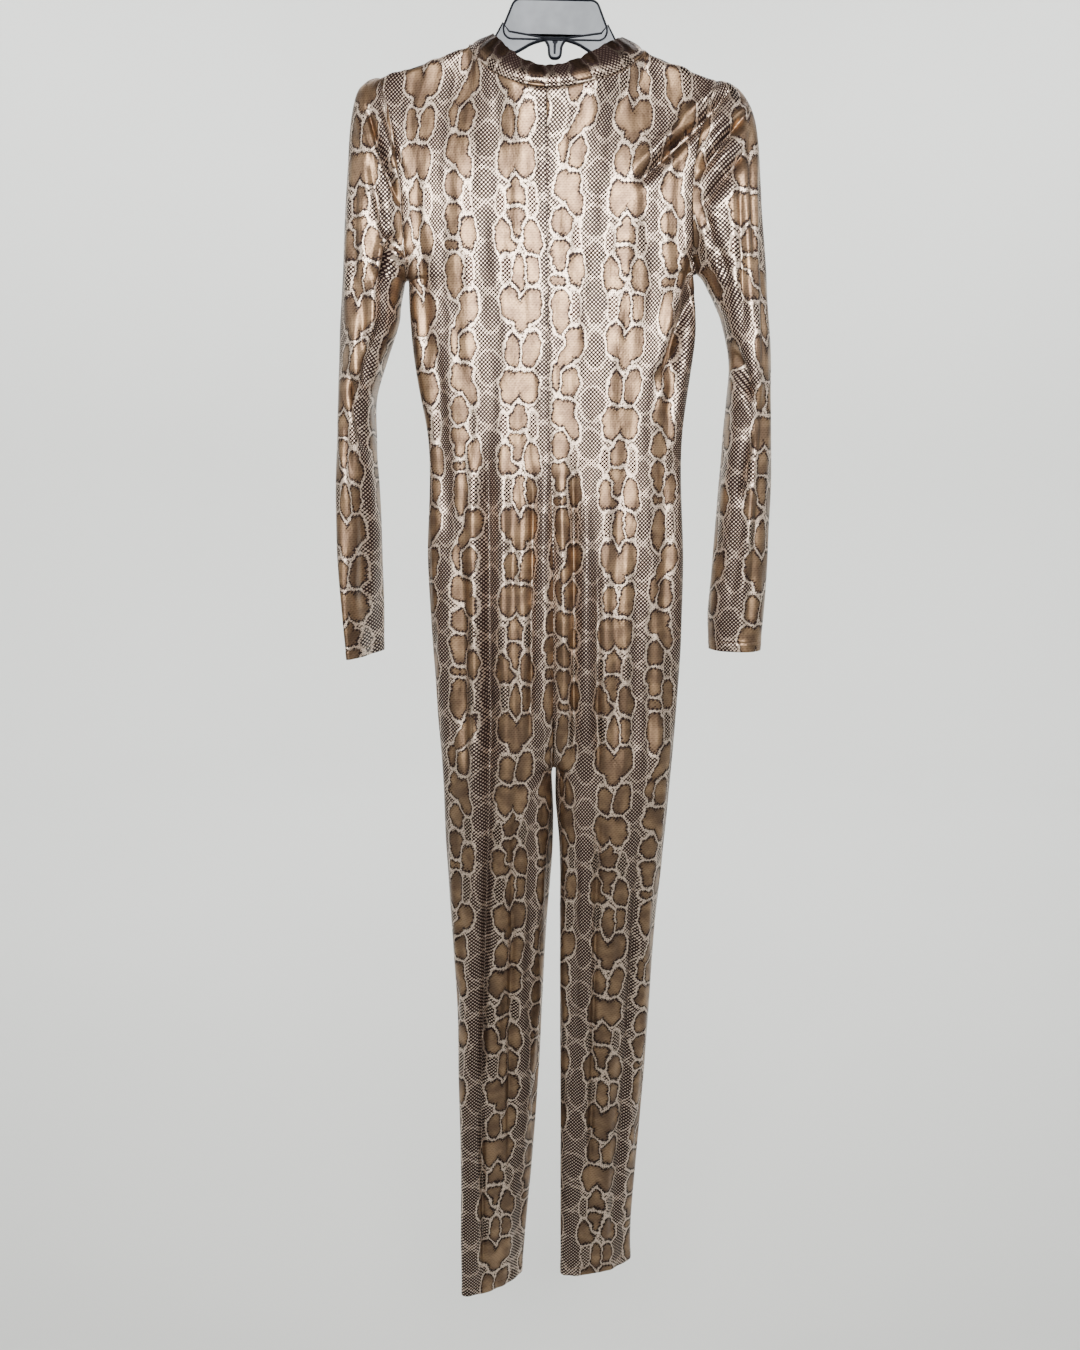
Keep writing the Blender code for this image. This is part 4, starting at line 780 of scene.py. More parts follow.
@dataclass(frozen=True)
class Drape:
    """How the cloth is creased: by listed lines, and by slow uneven waves."""

    fade: float = 0.30
    overrun: float = 0.12
    facing: float = 0.5
    near_ridge: float = 0.42
    far_ridge: float = 0.28
    wave_height: float = 0.00070
    deepened: float = 1.25
    seam_depth: float = 0.0009
    seam_width: float = 0.0022

    def creased(self, grid: ClothGrid, normals: Array) -> Array:
        """Points moved along their normals by every crease.

        Across its line a crease is a bell-shaped trough with two lower, unlike ridges
        beside it. Along its line it fades in and out.
        """
        x, y, z = np.moveaxis(grid.points, -1, 0)
        move = np.zeros(x.shape)
        for crease in CREASES:
            run = np.array([crease.x_low - crease.x_top, crease.z_low - crease.z_top])
            length = np.hypot(*run)
            from_x, from_z = x - crease.x_top, z - crease.z_top
            along = (from_x * run[0] + from_z * run[1]) / length ** 2
            aside = (from_x * run[1] - from_z * run[0]) / length / crease.width
            start = smooth_step((along + self.overrun) / self.fade)
            ends = start * smooth_step((1 + self.overrun - along) / self.fade)
            facing = smooth_step(normals[..., 1] * crease.face.value / self.facing)
            trough = np.exp(-aside ** 2)
            trough -= self.near_ridge * np.exp(-(aside - 1.75) ** 2)
            trough -= self.far_ridge * np.exp(-(aside + 1.9) ** 2)
            move -= self.deepened * crease.depth * trough * ends * facing
        return move

    def waves(self, grid: ClothGrid) -> Array:
        """Slow waves, long down the cloth and short across it: a sum of unlike sines."""
        s, t = grid.uv[..., 0], grid.uv[..., 1]
        if grid.closed:
            s, t = s[:, :-1], t[:, :-1]
        girth = 1.0 if grid.uv_turn is None else np.abs(grid.uv_turn[:, None])
        turns = s / girth if grid.closed else s / 0.11
        wave = np.sin(2 * math.pi * (2 * turns) + 9.0 * t + 0.7)
        wave += 0.7 * np.sin(2 * math.pi * (3 * turns) - 17.0 * t + 2.1)
        wave += 0.5 * np.sin(2 * math.pi * (5 * turns) + 31.0 * t + 4.0)
        wave += 0.35 * np.sin(2 * math.pi * (7 * turns) - 53.0 * t + 1.3)
        return wave * self.wave_height

    def seam_dip(self, distance: Array) -> Array:
        """How far the cloth dips beside a seam."""
        return self.seam_depth * np.exp(-(distance / self.seam_width) ** 2)


def edge_distances(points: Array) -> Array:
    """Distance of each point of an open grid from the nearer of its two side edges."""
    run = lengths(points, 1)
    return np.minimum(run, run[:, -1:] - run)


class Wire:
    """A shader socket that adds Math nodes when it is used in an expression."""

    def __init__(self, graph: "Graph", socket: bpy.types.NodeSocket) -> None:
        """Args: graph: where new nodes go. socket: the output that this wraps."""
        self.graph = graph
        self.socket = socket

    def math(self, operation: str, *values: "Wire | float") -> "Wire":
        """This socket and others through one Math node."""
        return self.graph.node("ShaderNodeMath", {"operation": operation}, [self, *values])

    def __add__(self, other: "Wire | float") -> "Wire":
        """Sum."""
        return self.math("ADD", other)

    __radd__ = __add__

    def __sub__(self, other: "Wire | float") -> "Wire":
        """Difference."""
        return self.math("SUBTRACT", other)

    def __rsub__(self, other: float) -> "Wire":
        """Difference from a number."""
        return self.graph.node("ShaderNodeMath", {"operation": "SUBTRACT"}, [other, self])

    def __mul__(self, other: "Wire | float") -> "Wire":
        """Product."""
        return self.math("MULTIPLY", other)

    __rmul__ = __mul__

    def least(self, other: "Wire | float") -> "Wire":
        """The smaller value."""
        return self.math("MINIMUM", other)

    def most(self, other: "Wire | float") -> "Wire":
        """The larger value."""
        return self.math("MAXIMUM", other)

    def ramp(self, low: float, high: float) -> "Wire":
        """Smooth rise from 0 at low to 1 at high; falls if low is above high."""
        settings = {"interpolation_type": "SMOOTHSTEP", "clamp": True}
        if low <= high:
            return self.graph.node("ShaderNodeMapRange", settings, [self, low, high, 0.0, 1.0])
        return self.graph.node("ShaderNodeMapRange", settings, [self, high, low, 1.0, 0.0])


class Graph:
    """A material's node tree, built up from expressions."""

    def __init__(self, name: str) -> None:
        """Makes a material whose Principled shader the graph feeds. Args: name: its name."""
        self.material = bpy.data.materials.new(name)
        self.material.use_nodes = True
        self.tree = self.material.node_tree
        self.shader = self.tree.nodes["Principled BSDF"]

    def node(self, kind: str, settings: dict, values: Sequence | dict, output: int = 0) -> Wire:
        """Adds one node.

        Args:
            kind: the node's type.
            settings: its properties, set first.
            values: numbers, tuples or wires for its inputs, in order or by name.
            output: which output the returned wire wraps.

        Returns:
            A wire on that output.
        """
        made = self.tree.nodes.new(kind)
        for key, value in settings.items():
            setattr(made, key, value)
        items = values.items() if isinstance(values, dict) else enumerate(values)
        for key, value in items:
            if value is None:
                continue
            if isinstance(value, Wire):
                self.tree.links.new(value.socket, made.inputs[key])
            else:
                made.inputs[key].default_value = value
        return Wire(self, made.outputs[output])

    def vector(self, operation: str, *values: Wire | tuple, output: int = 0) -> Wire:
        """One Vector Math node."""
        return self.node("ShaderNodeVectorMath", {"operation": operation}, values, output)

    def mix(self, share: Wire | float, first: Wire | tuple, second: Wire | tuple) -> Wire:
        """Colour that goes from first to second as share goes from 0 to 1."""
        values = {0: share, 6: first, 7: second}
        return self.node("ShaderNodeMix", {"data_type": "RGBA"}, values, output=2)

    def noise(self, where: Wire, scale: float, detail: float = 2.0, rough: float = 0.5) -> Wire:
        """Noise from 0 to 1."""
        values = {"Vector": where, "Scale": scale, "Detail": detail, "Roughness": rough}
        return self.node("ShaderNodeTexNoise", {}, values)

    def set(self, **values: float | tuple | Wire) -> None:
        """Sets the shader's inputs, by name with _ for a space."""
        for key, value in values.items():
            socket = self.shader.inputs[key.replace("_", " ")]
            if isinstance(value, Wire):
                self.tree.links.new(value.socket, socket)
            else:
                socket.default_value = value

    def bump(self, height: Wire, strength: float, distance: float) -> None:
        """Feeds the shader's Normal from a height."""
        values = {"Strength": strength, "Distance": distance, "Height": height}
        self.set(Normal=self.node("ShaderNodeBump", {}, values))


@dataclass(frozen=True)
class Lobe:
    """One rounded part of a printed cell, in millimetres of the repeat.

    x runs across from the main column and y down; wide and tall are halves; tilt in
    degrees leans its top to the right.
    """

    x: float
    y: float
    wide: float
    tall: float
    tilt: float = 0.0


HOOK = -65.0
CELLS = (
    # The main column, from its pair of ovals down
    (Lobe(-7.4, 29, 7.4, 14.5),),
    (Lobe(12.8, 28, 8.4, 16.5, 12),),
    (Lobe(-10.5, 66, 9.5, 16), Lobe(9.5, 66, 10, 15.5), Lobe(-1, 61, 12, 10.5)),
    (Lobe(-1.2, 102, 10, 10), Lobe(-1.2, 93, 5, 7.5)),
    (Lobe(-2.2, 122, 8.8, 10), Lobe(-2.0, 134, 5, 9)),
    (Lobe(-15, 142, 8, 15.5), Lobe(-10, 151, 8, 6, -25)),
    (Lobe(15, 143, 8.5, 16, -12),),
    (Lobe(1, 180, 6.8, 17.5),),
    (Lobe(14.5, 176, 6.0, 14),),
    (Lobe(-9, 209, 9.5, 16), Lobe(13, 210, 10, 16), Lobe(2, 220, 12, 10), Lobe(1.6, 231, 6.5, 7)),
    # The hook column
    (Lobe(HOOK + 5.8, 23, 9, 15),),
    (Lobe(HOOK - 1.6, 57, 12, 10.5), Lobe(HOOK + 8, 70, 7, 12.5, -18), Lobe(HOOK - 7, 49, 5, 8),
     Lobe(HOOK + 4, 50, 7, 8)),
    (Lobe(HOOK - 4.8, 90, 9.5, 12.5),),
    (Lobe(HOOK - 5.6, 117, 9, 9.5), Lobe(HOOK - 4.8, 128, 6, 9)),
    (Lobe(HOOK + 12, 137, 7.5, 16),),
    (Lobe(HOOK - 9, 148, 3.2, 3.4), Lobe(HOOK - 2, 149, 3.4, 3.2)),
    (Lobe(HOOK - 3.2, 180, 9.2, 20.5),),
    (Lobe(HOOK + 11, 210, 9.2, 15), Lobe(HOOK + 2, 226, 6.5, 14, 24),
     Lobe(HOOK - 9, 247, 4.5, 11)),
)
DARK_CELLS = (
    Lobe(-17.8, 107, 3.6, 9),
    Lobe(15.4, 106, 4.2, 10),
    Lobe(-12.8, 175, 4.2, 13),
    Lobe(HOOK + 11.0, 104, 3.6, 10.5),
    Lobe(HOOK + 11.5, 176, 4.2, 15.5),
)
BLOTCHES = (
    Lobe(HOOK + 32.0, 46, 11, 14),
    Lobe(HOOK + 30.0, 89, 11.5, 13),
    Lobe(HOOK + 30.5, 127, 11.5, 14),
    Lobe(HOOK + 33.5, 169, 9.5, 21),
    Lobe(HOOK + 34.5, 219, 9.5, 15),
    Lobe(HOOK - 29.0, 38, 11, 15),
    Lobe(HOOK - 29.0, 84, 11.5, 13),
    Lobe(HOOK - 28.5, 122, 11.5, 14),
    Lobe(HOOK - 24.5, 168, 8.5, 22),
    Lobe(HOOK - 24.0, 217, 9, 14),
)


@dataclass(frozen=True)
class SnakePrint:
    """The knit's foil print: a common python pattern, charted in one repeat."""

    name: str
    repeat: tuple[float, float] = (120.0, 229.0)
    tan: tuple = (0.150, 0.098, 0.066, 1.0)
    tan_pale: tuple = (0.29, 0.190, 0.115, 1.0)
    cream: tuple = (0.60, 0.48, 0.39, 1.0)
    dark: tuple = (0.014, 0.008, 0.0075, 1.0)
    net: float = 2.3
    outline: float = 2.0
    scale_period: float = 4.3
    hatch: float = 2.5
    wale: float = 0.9
    course: float = 0.75
    grown: float = 2.6
    darken: float = 0.0
    darken_up: tuple[float, float] | None = None

    def reach(self, graph: Graph, where: Wire, lobe: Lobe) -> Wire:
        """Millimetres outside a lobe, below 0 inside it: its stretched distance less one."""
        wide, tall = self.repeat
        from_centre = graph.vector("SUBTRACT", where, (lobe.x, lobe.y, 0.0))
        wrapped = graph.vector("WRAP", from_centre, (wide / 2, tall / 2, 1.0),
                               (-wide / 2, -tall / 2, -1.0))
        if lobe.tilt:
            values = {"Vector": wrapped, "Rotation": (0, 0, math.radians(lobe.tilt)),
                      "Scale": (lobe.wide, lobe.tall, 1.0)}
            local = graph.node("ShaderNodeMapping", {"vector_type": "TEXTURE"}, values)
        else:
            local = graph.vector("DIVIDE", wrapped, (lobe.wide, lobe.tall, 1.0))
        length = graph.vector("LENGTH", local, output=1)
        size = math.sqrt(lobe.wide * lobe.tall)
        return length.math("MULTIPLY_ADD", size, -size - self.grown)

    def nearest(self, graph: Graph, where: Wire, lobes: Sequence[Lobe]) -> Wire:
        """Millimetres outside the nearest of some lobes."""
        found = self.reach(graph, where, lobes[0])
        for lobe in lobes[1:]:
            found = found.least(self.reach(graph, where, lobe))
        return found

    def material(self) -> bpy.types.Material:
        """The cloth's material, which reads the piece's own UV map in metres."""
        graph = Graph(self.name)
        uv = graph.node("ShaderNodeUVMap", {"uv_map": PRINT_UV}, [])
        mm = graph.vector("MULTIPLY", uv, (1000.0, 1000.0, 1000.0))
        # Hand-drawn unevenness of the cells, and a slower one of the whole repeat
        wobble = graph.node("ShaderNodeTexNoise", {}, {"Vector": mm, "Scale": 0.085, "Detail": 3.0},
                            output=1)
        centred = graph.vector("SUBTRACT", wobble, (0.5, 0.5, 0.5))
        spread = graph.vector("MULTIPLY", centred, (10.0, 10.0, 0.0))
        where = graph.vector("ADD", mm, spread)

        x = graph.node("ShaderNodeSeparateXYZ", {}, [mm])
        y = Wire(graph, x.socket.node.outputs[1])
        wave = 2 * math.pi / self.scale_period
        rising = ((x + y) * wave).math("SINE")
        falling = ((x - y) * wave).math("SINE")
        lattice = rising * 0.62 + falling * 0.48

        first, second = None, None
        for cell in CELLS:
            reach = self.nearest(graph, where, cell)
            if first is None:
                first, second = reach, reach + 1000.0
                continue
            second = second.least(first.most(reach))
            first = first.least(reach)
        dark_cell = self.nearest(graph, where, DARK_CELLS)
        second = second.least(first.most(dark_cell))
        blotch = self.nearest(graph, where, BLOTCHES)

        ragged = lattice * 1.05
        parting = self.net / 2 - (second - first) * 0.5
        inside = first.most(parting) + ragged
        dark_inside = dark_cell.most(self.net / 2 - (first - dark_cell) * 0.5) + ragged
        fill = inside.ramp(-self.outline + 0.35, -self.outline - 0.35)
        line = inside.ramp(0.35, -0.35)
        near = first.least(dark_cell)
        between = (first + second).ramp(6.5, 4.5)
        net = near.ramp(self.net + 0.9, self.net - 0.9).most(between)

        # Small scales: mostly dark in the blotches, pale beside them, mixed elsewhere
        in_blotch = blotch.ramp(0.8, -1.2)
        by_blotch = (blotch + lattice * 0.8).ramp(3.2, 2.2)
        level = by_blotch * 0.40 - in_blotch * 0.50 - 0.46
        scales = (lattice - level).ramp(-0.16, 0.16)
        ground = graph.mix(scales, self.cream, self.dark)
        specks = (lattice - 0.66).ramp(-0.10, 0.12)
        netted = graph.mix(specks * 0.75, self.cream, self.dark)
        colour = graph.mix(net, ground, netted)
        dark_line = dark_inside.ramp(0.35, -0.35)
        dark_fill = dark_inside.ramp(-0.8, -1.3)
        dark_scales = (lattice + 0.35).ramp(-0.16, 0.16)
        dark_ground = graph.mix(dark_scales, self.cream, self.dark)
        colour = graph.mix(dark_line, colour, self.dark)
        colour = graph.mix(dark_fill, colour, dark_ground)

        cloud = graph.noise(mm, 0.045, 2.0)
        hatch = (y * (2 * math.pi / self.hatch)).math("SINE") * 0.5 + rising * 0.25
        tan = graph.mix(cloud.ramp(0.35, 0.68), self.tan, self.tan_pale)
        tan = graph.mix(hatch.ramp(0.05, 0.75) * 0.38, tan, self.dark)
        tan = graph.mix(inside.ramp(-6.5, -1.5) * 0.38, tan, self.dark)
        colour = graph.mix(line, colour, self.dark)
        colour = graph.mix(fill, colour, tan)
        if self.darken_up:
            colour = graph.mix(y.ramp(*self.darken_up) * self.darken, colour, self.dark)

        # The foil lies on the pale and tan parts, worn through here and there
        wear = graph.noise(mm, 0.35, 3.0, 0.6)
        dark_part = line * (1 - fill) + scales * (1 - net) * (1 - line)
        metallic = 0.92 - dark_part * 0.86
        roughness = 0.34 + wear.ramp(0.3, 0.75) * 0.12 + dark_part * 0.06
        wales = (x * (2 * math.pi / self.wale)).math("SINE")
        courses = (y * (2 * math.pi / self.course)).math("SINE")
        knit = wales * 0.35 + courses * 0.35
        stretched = graph.vector("MULTIPLY", mm, (1.0, 0.32, 1.0))
        ripple = graph.noise(stretched, 0.11, 2.5, 0.55)
        height = knit * 0.06 + lattice * 0.05 + ripple * 1.4
        graph.set(Base_Color=colour, Metallic=metallic, Roughness=roughness, Specular_IOR_Level=0.08)
        graph.bump(height, 0.55, 0.0011)
        return graph.material


def cloth_mesh(grid: ClothGrid, outside: Array) -> bpy.types.Object:
    """A mesh of a grid's outer points, with its print map.

    Args:
        grid: gives the columns' closing, winding and print coordinates.
        outside: rows by columns by 3, the outer side of the cloth.

    Returns:
        The new object, linked to the scene.
    """
    rows, columns = outside.shape[:2]
    number = np.arange(rows * columns).reshape(rows, columns)
    if grid.closed:
        number = np.concatenate([number, number[:, :1]], axis=1)
    corners = [number[:-1, :-1], number[:-1, 1:], number[1:, 1:], number[1:, :-1]]
    uv = grid.uv
    quads = [uv[:-1, :-1], uv[:-1, 1:], uv[1:, 1:], uv[1:, :-1]]
    if grid.closed:
        turn = np.zeros(uv.shape)
        turn[..., 0] = grid.uv_turn[:, None]
        past = (np.arange(number.shape[1] - 1) >= grid.split_column)[None, :]
        turns = [turn[:-1, :-1], turn[:-1, 1:], turn[1:, 1:], turn[1:, :-1]]
        quads = [quad - shift * past[..., None] for quad, shift in zip(quads, turns)]
    faces = np.stack(corners, axis=-1).reshape(-1, 4)
    loops = np.stack(quads, axis=2).reshape(-1, 4, 2)
    if grid.outward < 0:
        faces = faces[:, ::-1]
        loops = loops[:, ::-1]
    mesh = bpy.data.meshes.new(grid.name)
    mesh.from_pydata(outside.reshape(-1, 3), [], faces)
    layer = mesh.uv_layers.new(name=PRINT_UV)
    layer.data.foreach_set("uv", loops.reshape(-1).astype(np.float32))
    mesh.shade_smooth()
    made = bpy.data.objects.new(f"cloth_{grid.name}", mesh)
    bpy.context.scene.collection.objects.link(made)
    return made


def thicken(piece: bpy.types.Object, thickness: float) -> None:
    """Gives a sheet its thickness, inwards."""
    shell = piece.modifiers.new("thickness", "SOLIDIFY")
    shell.thickness = thickness
    shell.offset = -1.0


def sheet_area(points: Array, closed: bool) -> float:
    """Area of a grid in square metres: half the cross product of each face's diagonals."""
    if closed:
        points = np.concatenate([points, points[:, :1]], axis=1)
    diagonal = points[1:, 1:] - points[:-1, :-1]
    other = points[1:, :-1] - points[:-1, 1:]
    return float(np.linalg.norm(np.cross(diagonal, other), axis=2).sum() / 2)


@dataclass
class Garment:
    """The unitard's cloth: four body panels, two sleeves and the neck band."""

    pattern: Pattern = field(default_factory=Pattern)
    drape: Drape = field(default_factory=Drape)
    wall: float = 0.0012
    cloth: float = 0.0009
    hem_depth: float = 0.013
    hem_step: float = 0.0005
    seam_ridge: float = 0.0011
    stitch_dip: float = 0.0007
    stitch_width: float = 0.0012
    stitch_inset: float = 0.0025
    hem_edge: float = 0.0016
    wave_settle: float = 0.012
    turn_in: float = 0.010
    band_turn_in: float = 0.005
    band_layer: float = 0.0004
    grids: dict[str, ClothGrid] = field(default_factory=dict)
    outsides: dict[str, Array] = field(default_factory=dict)
    normals: dict[str, Array] = field(default_factory=dict)

    def lay_out(self) -> list[ClothGrid]:
        """All grids at rest, before any crease."""
        panels = {(side.name, face): self.pattern.panel(side, face) for side in SIDES for face in Face}
        sleeves = [
            self.pattern.sleeve(side, panels[side.name, F], panels[side.name, B]) for side in SIDES
        ]
        return [*panels.values(), *sleeves, self.pattern.band(panels)]

    def hem(self, grid: ClothGrid) -> Array:
        """Raised turn-up at a lower edge, with a groove where it is stitched."""
        up = lengths(grid.points[::-1], 0)[::-1]
        step = self.hem_step * smooth_step((self.hem_depth - up) / self.hem_edge + 0.5)
        below_stitches = (up - self.hem_depth + self.stitch_inset) / self.stitch_width
        return step - self.stitch_dip * np.exp(-below_stitches ** 2)

    def build(self) -> None:
        """Creases the grids and makes each its shell, and logs each sheet's area."""
        grids = self.lay_out()
        normals = shared_normals(grids)
        creased = []
        for grid, normal in zip(grids, normals):
            if grid.name == "neck_band":
                creased.append(grid)
                continue
            waves = self.drape.waves(grid)
            if not grid.closed:
                waves = waves * smooth_step(edge_distances(grid.points) / self.wave_settle)
            move = self.drape.creased(grid, normal) + waves
            creased.append(replace(grid, points=grid.points + normal * move[..., None]))
        normals = shared_normals(creased)
        for grid, normal in zip(creased, normals):
            if grid.name == "neck_band":
                self.band(grid, normal)
                continue
            rise = self.wall / 2 + self.hem(grid)
            if not grid.closed:
                rise = rise - self.drape.seam_dip(edge_distances(grid.points))
            rise = rise - self.drape.seam_dip(lengths(grid.points, 0))
            self.add(grid, grid.points + normal * rise[..., None], normal)

    def declare(self, grid: ClothGrid, points: Array, look: SnakePrint, thick: float) -> None:
        """Args:
            grid: its grid, with the print's map of points.
            points: its outer points.
            look: its print.
            thick: the shell's thickness.
        """
        piece = cloth_mesh(grid, points)
        thicken(piece, thick)
        piece.data.materials.append(look.material())
        area = sheet_area(points, grid.closed)
        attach(piece, GARMENT)
        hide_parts(grid.name)
        LOG.info("%s: %d faces, %.3f square metres", piece.name, len(piece.data.polygons), area)

    def keep(self, grid: ClothGrid, outside: Array, normal: Array) -> None:
        """Keeps a piece's grid, outer points and normals for the sewing and the zip."""
        self.grids[grid.name] = grid
        self.outsides[grid.name] = outside
        self.normals[grid.name] = normal

    def add(self, grid: ClothGrid, outside: Array, normal: Array) -> None:
        """A panel or a sleeve, with its snake print and its thickness."""
        self.declare(grid, outside, SnakePrint(f"{grid.name} snake print"), self.cloth)
        self.keep(grid, outside, normal)

    def band(self, grid: ClothGrid, normal: Array) -> None:
        """The neck band: a folded strip that rolls over at its rim.

        Its outer layer rises from the seam to the rim in slow uneven waves, turns over in
        a half circle, and its inner layer goes back down to the seam.
        """
        wave_length, wave_height, rim_lift, roll_radius, roll_steps = 0.013, 0.00055, 0.0005, 0.0009, 6
        share = np.linspace(0, 1, len(grid.points))[:, None]
        place = grid.uv[..., 0] / wave_length
        wave = np.sin(2 * math.pi * place) + 0.6 * np.sin(2 * math.pi * place * 0.61 + 1.0)
        wave += 0.5 * np.sin(2 * math.pi * place * 1.71 + 2.0)
        ends = smooth_step(edge_distances(grid.points) / 0.02)
        wave = wave * ends * wave_height
        height = grid.uv[..., 1]
        ridge = self.seam_ridge * np.exp(-((height - 0.0016) / 0.0013) ** 2)
        ridge = ridge - self.seam_ridge * 0.7 * np.exp(-((height - 0.0048) / 0.0012) ** 2)
        lift_out = self.wall / 2 + ridge + wave * smooth_step(share * 1.6)
        outer = grid.points + normal * lift_out[..., None]
        lift = np.sin(2 * math.pi * place[-1] * 0.47 + 0.5) * rim_lift * ends[-1]
        outer[..., 2] += lift * share ** 3
        rim_normal = normal[-1]
        up = outer[-1] - outer[-2]
        up /= np.linalg.norm(up, axis=1, keepdims=True)
        turn = np.linspace(0, math.pi, roll_steps + 1)[1:, None, None]
        middle = outer[-1] - rim_normal * roll_radius
        roll = middle + roll_radius * (np.cos(turn) * rim_normal + np.sin(turn) * up)
        inner = outer[-2::-1] - normal[-2::-1] * 2 * roll_radius
        points = np.concatenate([outer, roll, inner])
        up_uv = lengths(points, 0)
        around = grid.uv[..., 0]
        across = np.concatenate([around, np.repeat(around[-1:], roll_steps, axis=0), around[-2::-1]])
        uv = np.stack([across + 0.031, up_uv + 0.105], axis=-1)
        strip = ClothGrid("neck_band", points, False, 1, uv)
        look = SnakePrint("neck_band snake print", darken=0.86, darken_up=(109.0, 122.0))
        self.declare(strip, points, look, self.band_layer)
        self.keep(grid, outer, normal)


def new_object(name: str, mesh: bpy.types.Mesh, finish: bpy.types.Material) -> bpy.types.Object:
    """Links a mesh to the scene with its material."""
    made = bpy.data.objects.new(name, mesh)
    made.data.materials.append(finish)
    bpy.context.scene.collection.objects.link(made)
    return made


def sweep(path: Array, sides: Array, ups: Array, profile: Array, closed: bool) -> tuple[Array, Array]:
    """A profile carried along a path: each point is the path plus side and up parts.

    Args:
        path: n by 3 points.
        sides: n by 3 unit vectors for the profile's first number.
        ups: n by 3 unit vectors for its second.
        profile: m by 2 points, closed.
        closed: whether the path closes.

    Returns:
        Vertices and faces. An open path's ends stay open here.
    """
    n, m = len(path), len(profile)
    points = path[:, None] + sides[:, None] * profile[None, :, :1]
    points = points + ups[:, None] * profile[None, :, 1:]
    number = np.arange(n * m).reshape(n, m)
    ring = np.concatenate([number, number[:, :1]], axis=1)
    if closed:
        ring = np.concatenate([ring, ring[:1]])
    faces = np.stack([ring[:-1, :-1], ring[:-1, 1:], ring[1:, 1:], ring[1:, :-1]], axis=-1)
    return points.reshape(-1, 3), faces.reshape(-1, 4)


def swept_mesh(name: str, paths: Sequence[tuple[Array, Array, Array, Array, bool]]) -> bpy.types.Mesh:
    """One mesh of several sweeps, with caps and outward normals."""
    mesh = bpy.data.meshes.new(name)
    work = bmesh.new()
    for path, sides, ups, profile, closed in paths:
        points, faces = sweep(path, sides, ups, profile, closed)
        part = bpy.data.meshes.new(name)
        part.from_pydata(points, [], faces)
        work.from_mesh(part)
        bpy.data.meshes.remove(part)
    bmesh.ops.holes_fill(work, edges=[e for e in work.edges if e.is_boundary])
    bmesh.ops.recalc_face_normals(work, faces=work.faces)
    work.to_mesh(mesh)
    work.free()
    mesh.shade_smooth()
    mesh.set_sharp_from_angle(angle=math.radians(50))
    return mesh


def circle(radius: float, count: int) -> Array:
    """A round profile."""
    angle = 2 * math.pi * np.arange(count) / count
    return radius * np.stack([np.cos(angle), np.sin(angle)], axis=-1)


def flat_frames(path: Array, closed: bool) -> tuple[Array, Array]:
    """Side vectors in the X-Z plane and the Y axis as up, for a path in that plane."""
    if closed:
        step = np.roll(path, -1, axis=0) - np.roll(path, 1, axis=0)
    else:
        step = np.gradient(path, axis=0)
    step /= np.linalg.norm(step, axis=1, keepdims=True)
    side = np.stack([-step[:, 2], 0 * step[:, 0], step[:, 0]], axis=-1)
    up = np.tile([0.0, 1.0, 0.0], (len(path), 1))
    return side, up


@dataclass(frozen=True)
class Plastic:
    """Moulded plastic with faint flow marks."""

    name: str
    colour: tuple
    pale: tuple
    roughness: float = 0.36
    specular: float = 0.22

    def material(self) -> bpy.types.Material:
        """The plastic's material, on Object coordinates."""
        graph = Graph(self.name)
        where = graph.node("ShaderNodeTexCoord", {}, [], output=3)
        cloud = graph.noise(where, 24.0, 3.0, 0.6)
        grain = graph.noise(where, 900.0, 2.0)
        graph.set(
            Base_Color=graph.mix(cloud.ramp(0.3, 0.7), self.colour, self.pale),
            Roughness=self.roughness + grain * 0.10,
            Specular_IOR_Level=self.specular,
        )
        graph.bump(grain * 0.3 + cloud, 0.25, 0.0004)
        return graph.material


@dataclass(frozen=True)
class Metal:
    """Plated or dulled metal with fine drawn marks."""

    name: str
    colour: tuple
    worn: tuple
    roughness: float

    def material(self) -> bpy.types.Material:
        """The metal's material, on Object coordinates."""
        graph = Graph(self.name)
        where = graph.node("ShaderNodeTexCoord", {}, [], output=3)
        spots = graph.noise(where, 260.0, 4.0, 0.65)
        marks = graph.noise(graph.vector("MULTIPLY", where, (1.0, 1.0, 0.05)), 2400.0, 2.0)
        graph.set(
            Base_Color=graph.mix(spots.ramp(0.45, 0.75), self.colour, self.worn),
            Metallic=1.0,
            Roughness=self.roughness + spots.ramp(0.35, 0.8) * 0.18,
        )
        graph.bump(marks, 0.15, 0.0002)
        return graph.material


def arc(centre: tuple, radius: float, start: float, end: float, steps: int) -> Array:
    """Points in X and Z along an arc, angles in degrees from +X."""
    angle = np.radians(np.linspace(start, end, steps + 1))
    x, z = centre[0] + radius * np.cos(angle), centre[1] + radius * np.sin(angle)
    return np.stack([x, z], axis=-1)


def rounded(corners: Sequence[tuple], steps: int = 6) -> Array:
    """A closed outline with rounded corners: each corner is (x, z, radius).

    At a corner the outline leaves one side and joins the next along a quadratic curve.
    """
    points = []
    count = len(corners)
    for k, (x, z, radius) in enumerate(corners):
        here = np.array([x, z])
        before = np.array(corners[k - 1][:2]) - here
        after = np.array(corners[(k + 1) % count][:2]) - here
        start = here + before / np.linalg.norm(before) * radius
        end = here + after / np.linalg.norm(after) * radius
        t = np.linspace(0, 1, steps + 1)[:, None]
        points.append((1 - t) ** 2 * start + 2 * t * (1 - t) * here + t * t * end)
    return np.concatenate(points)


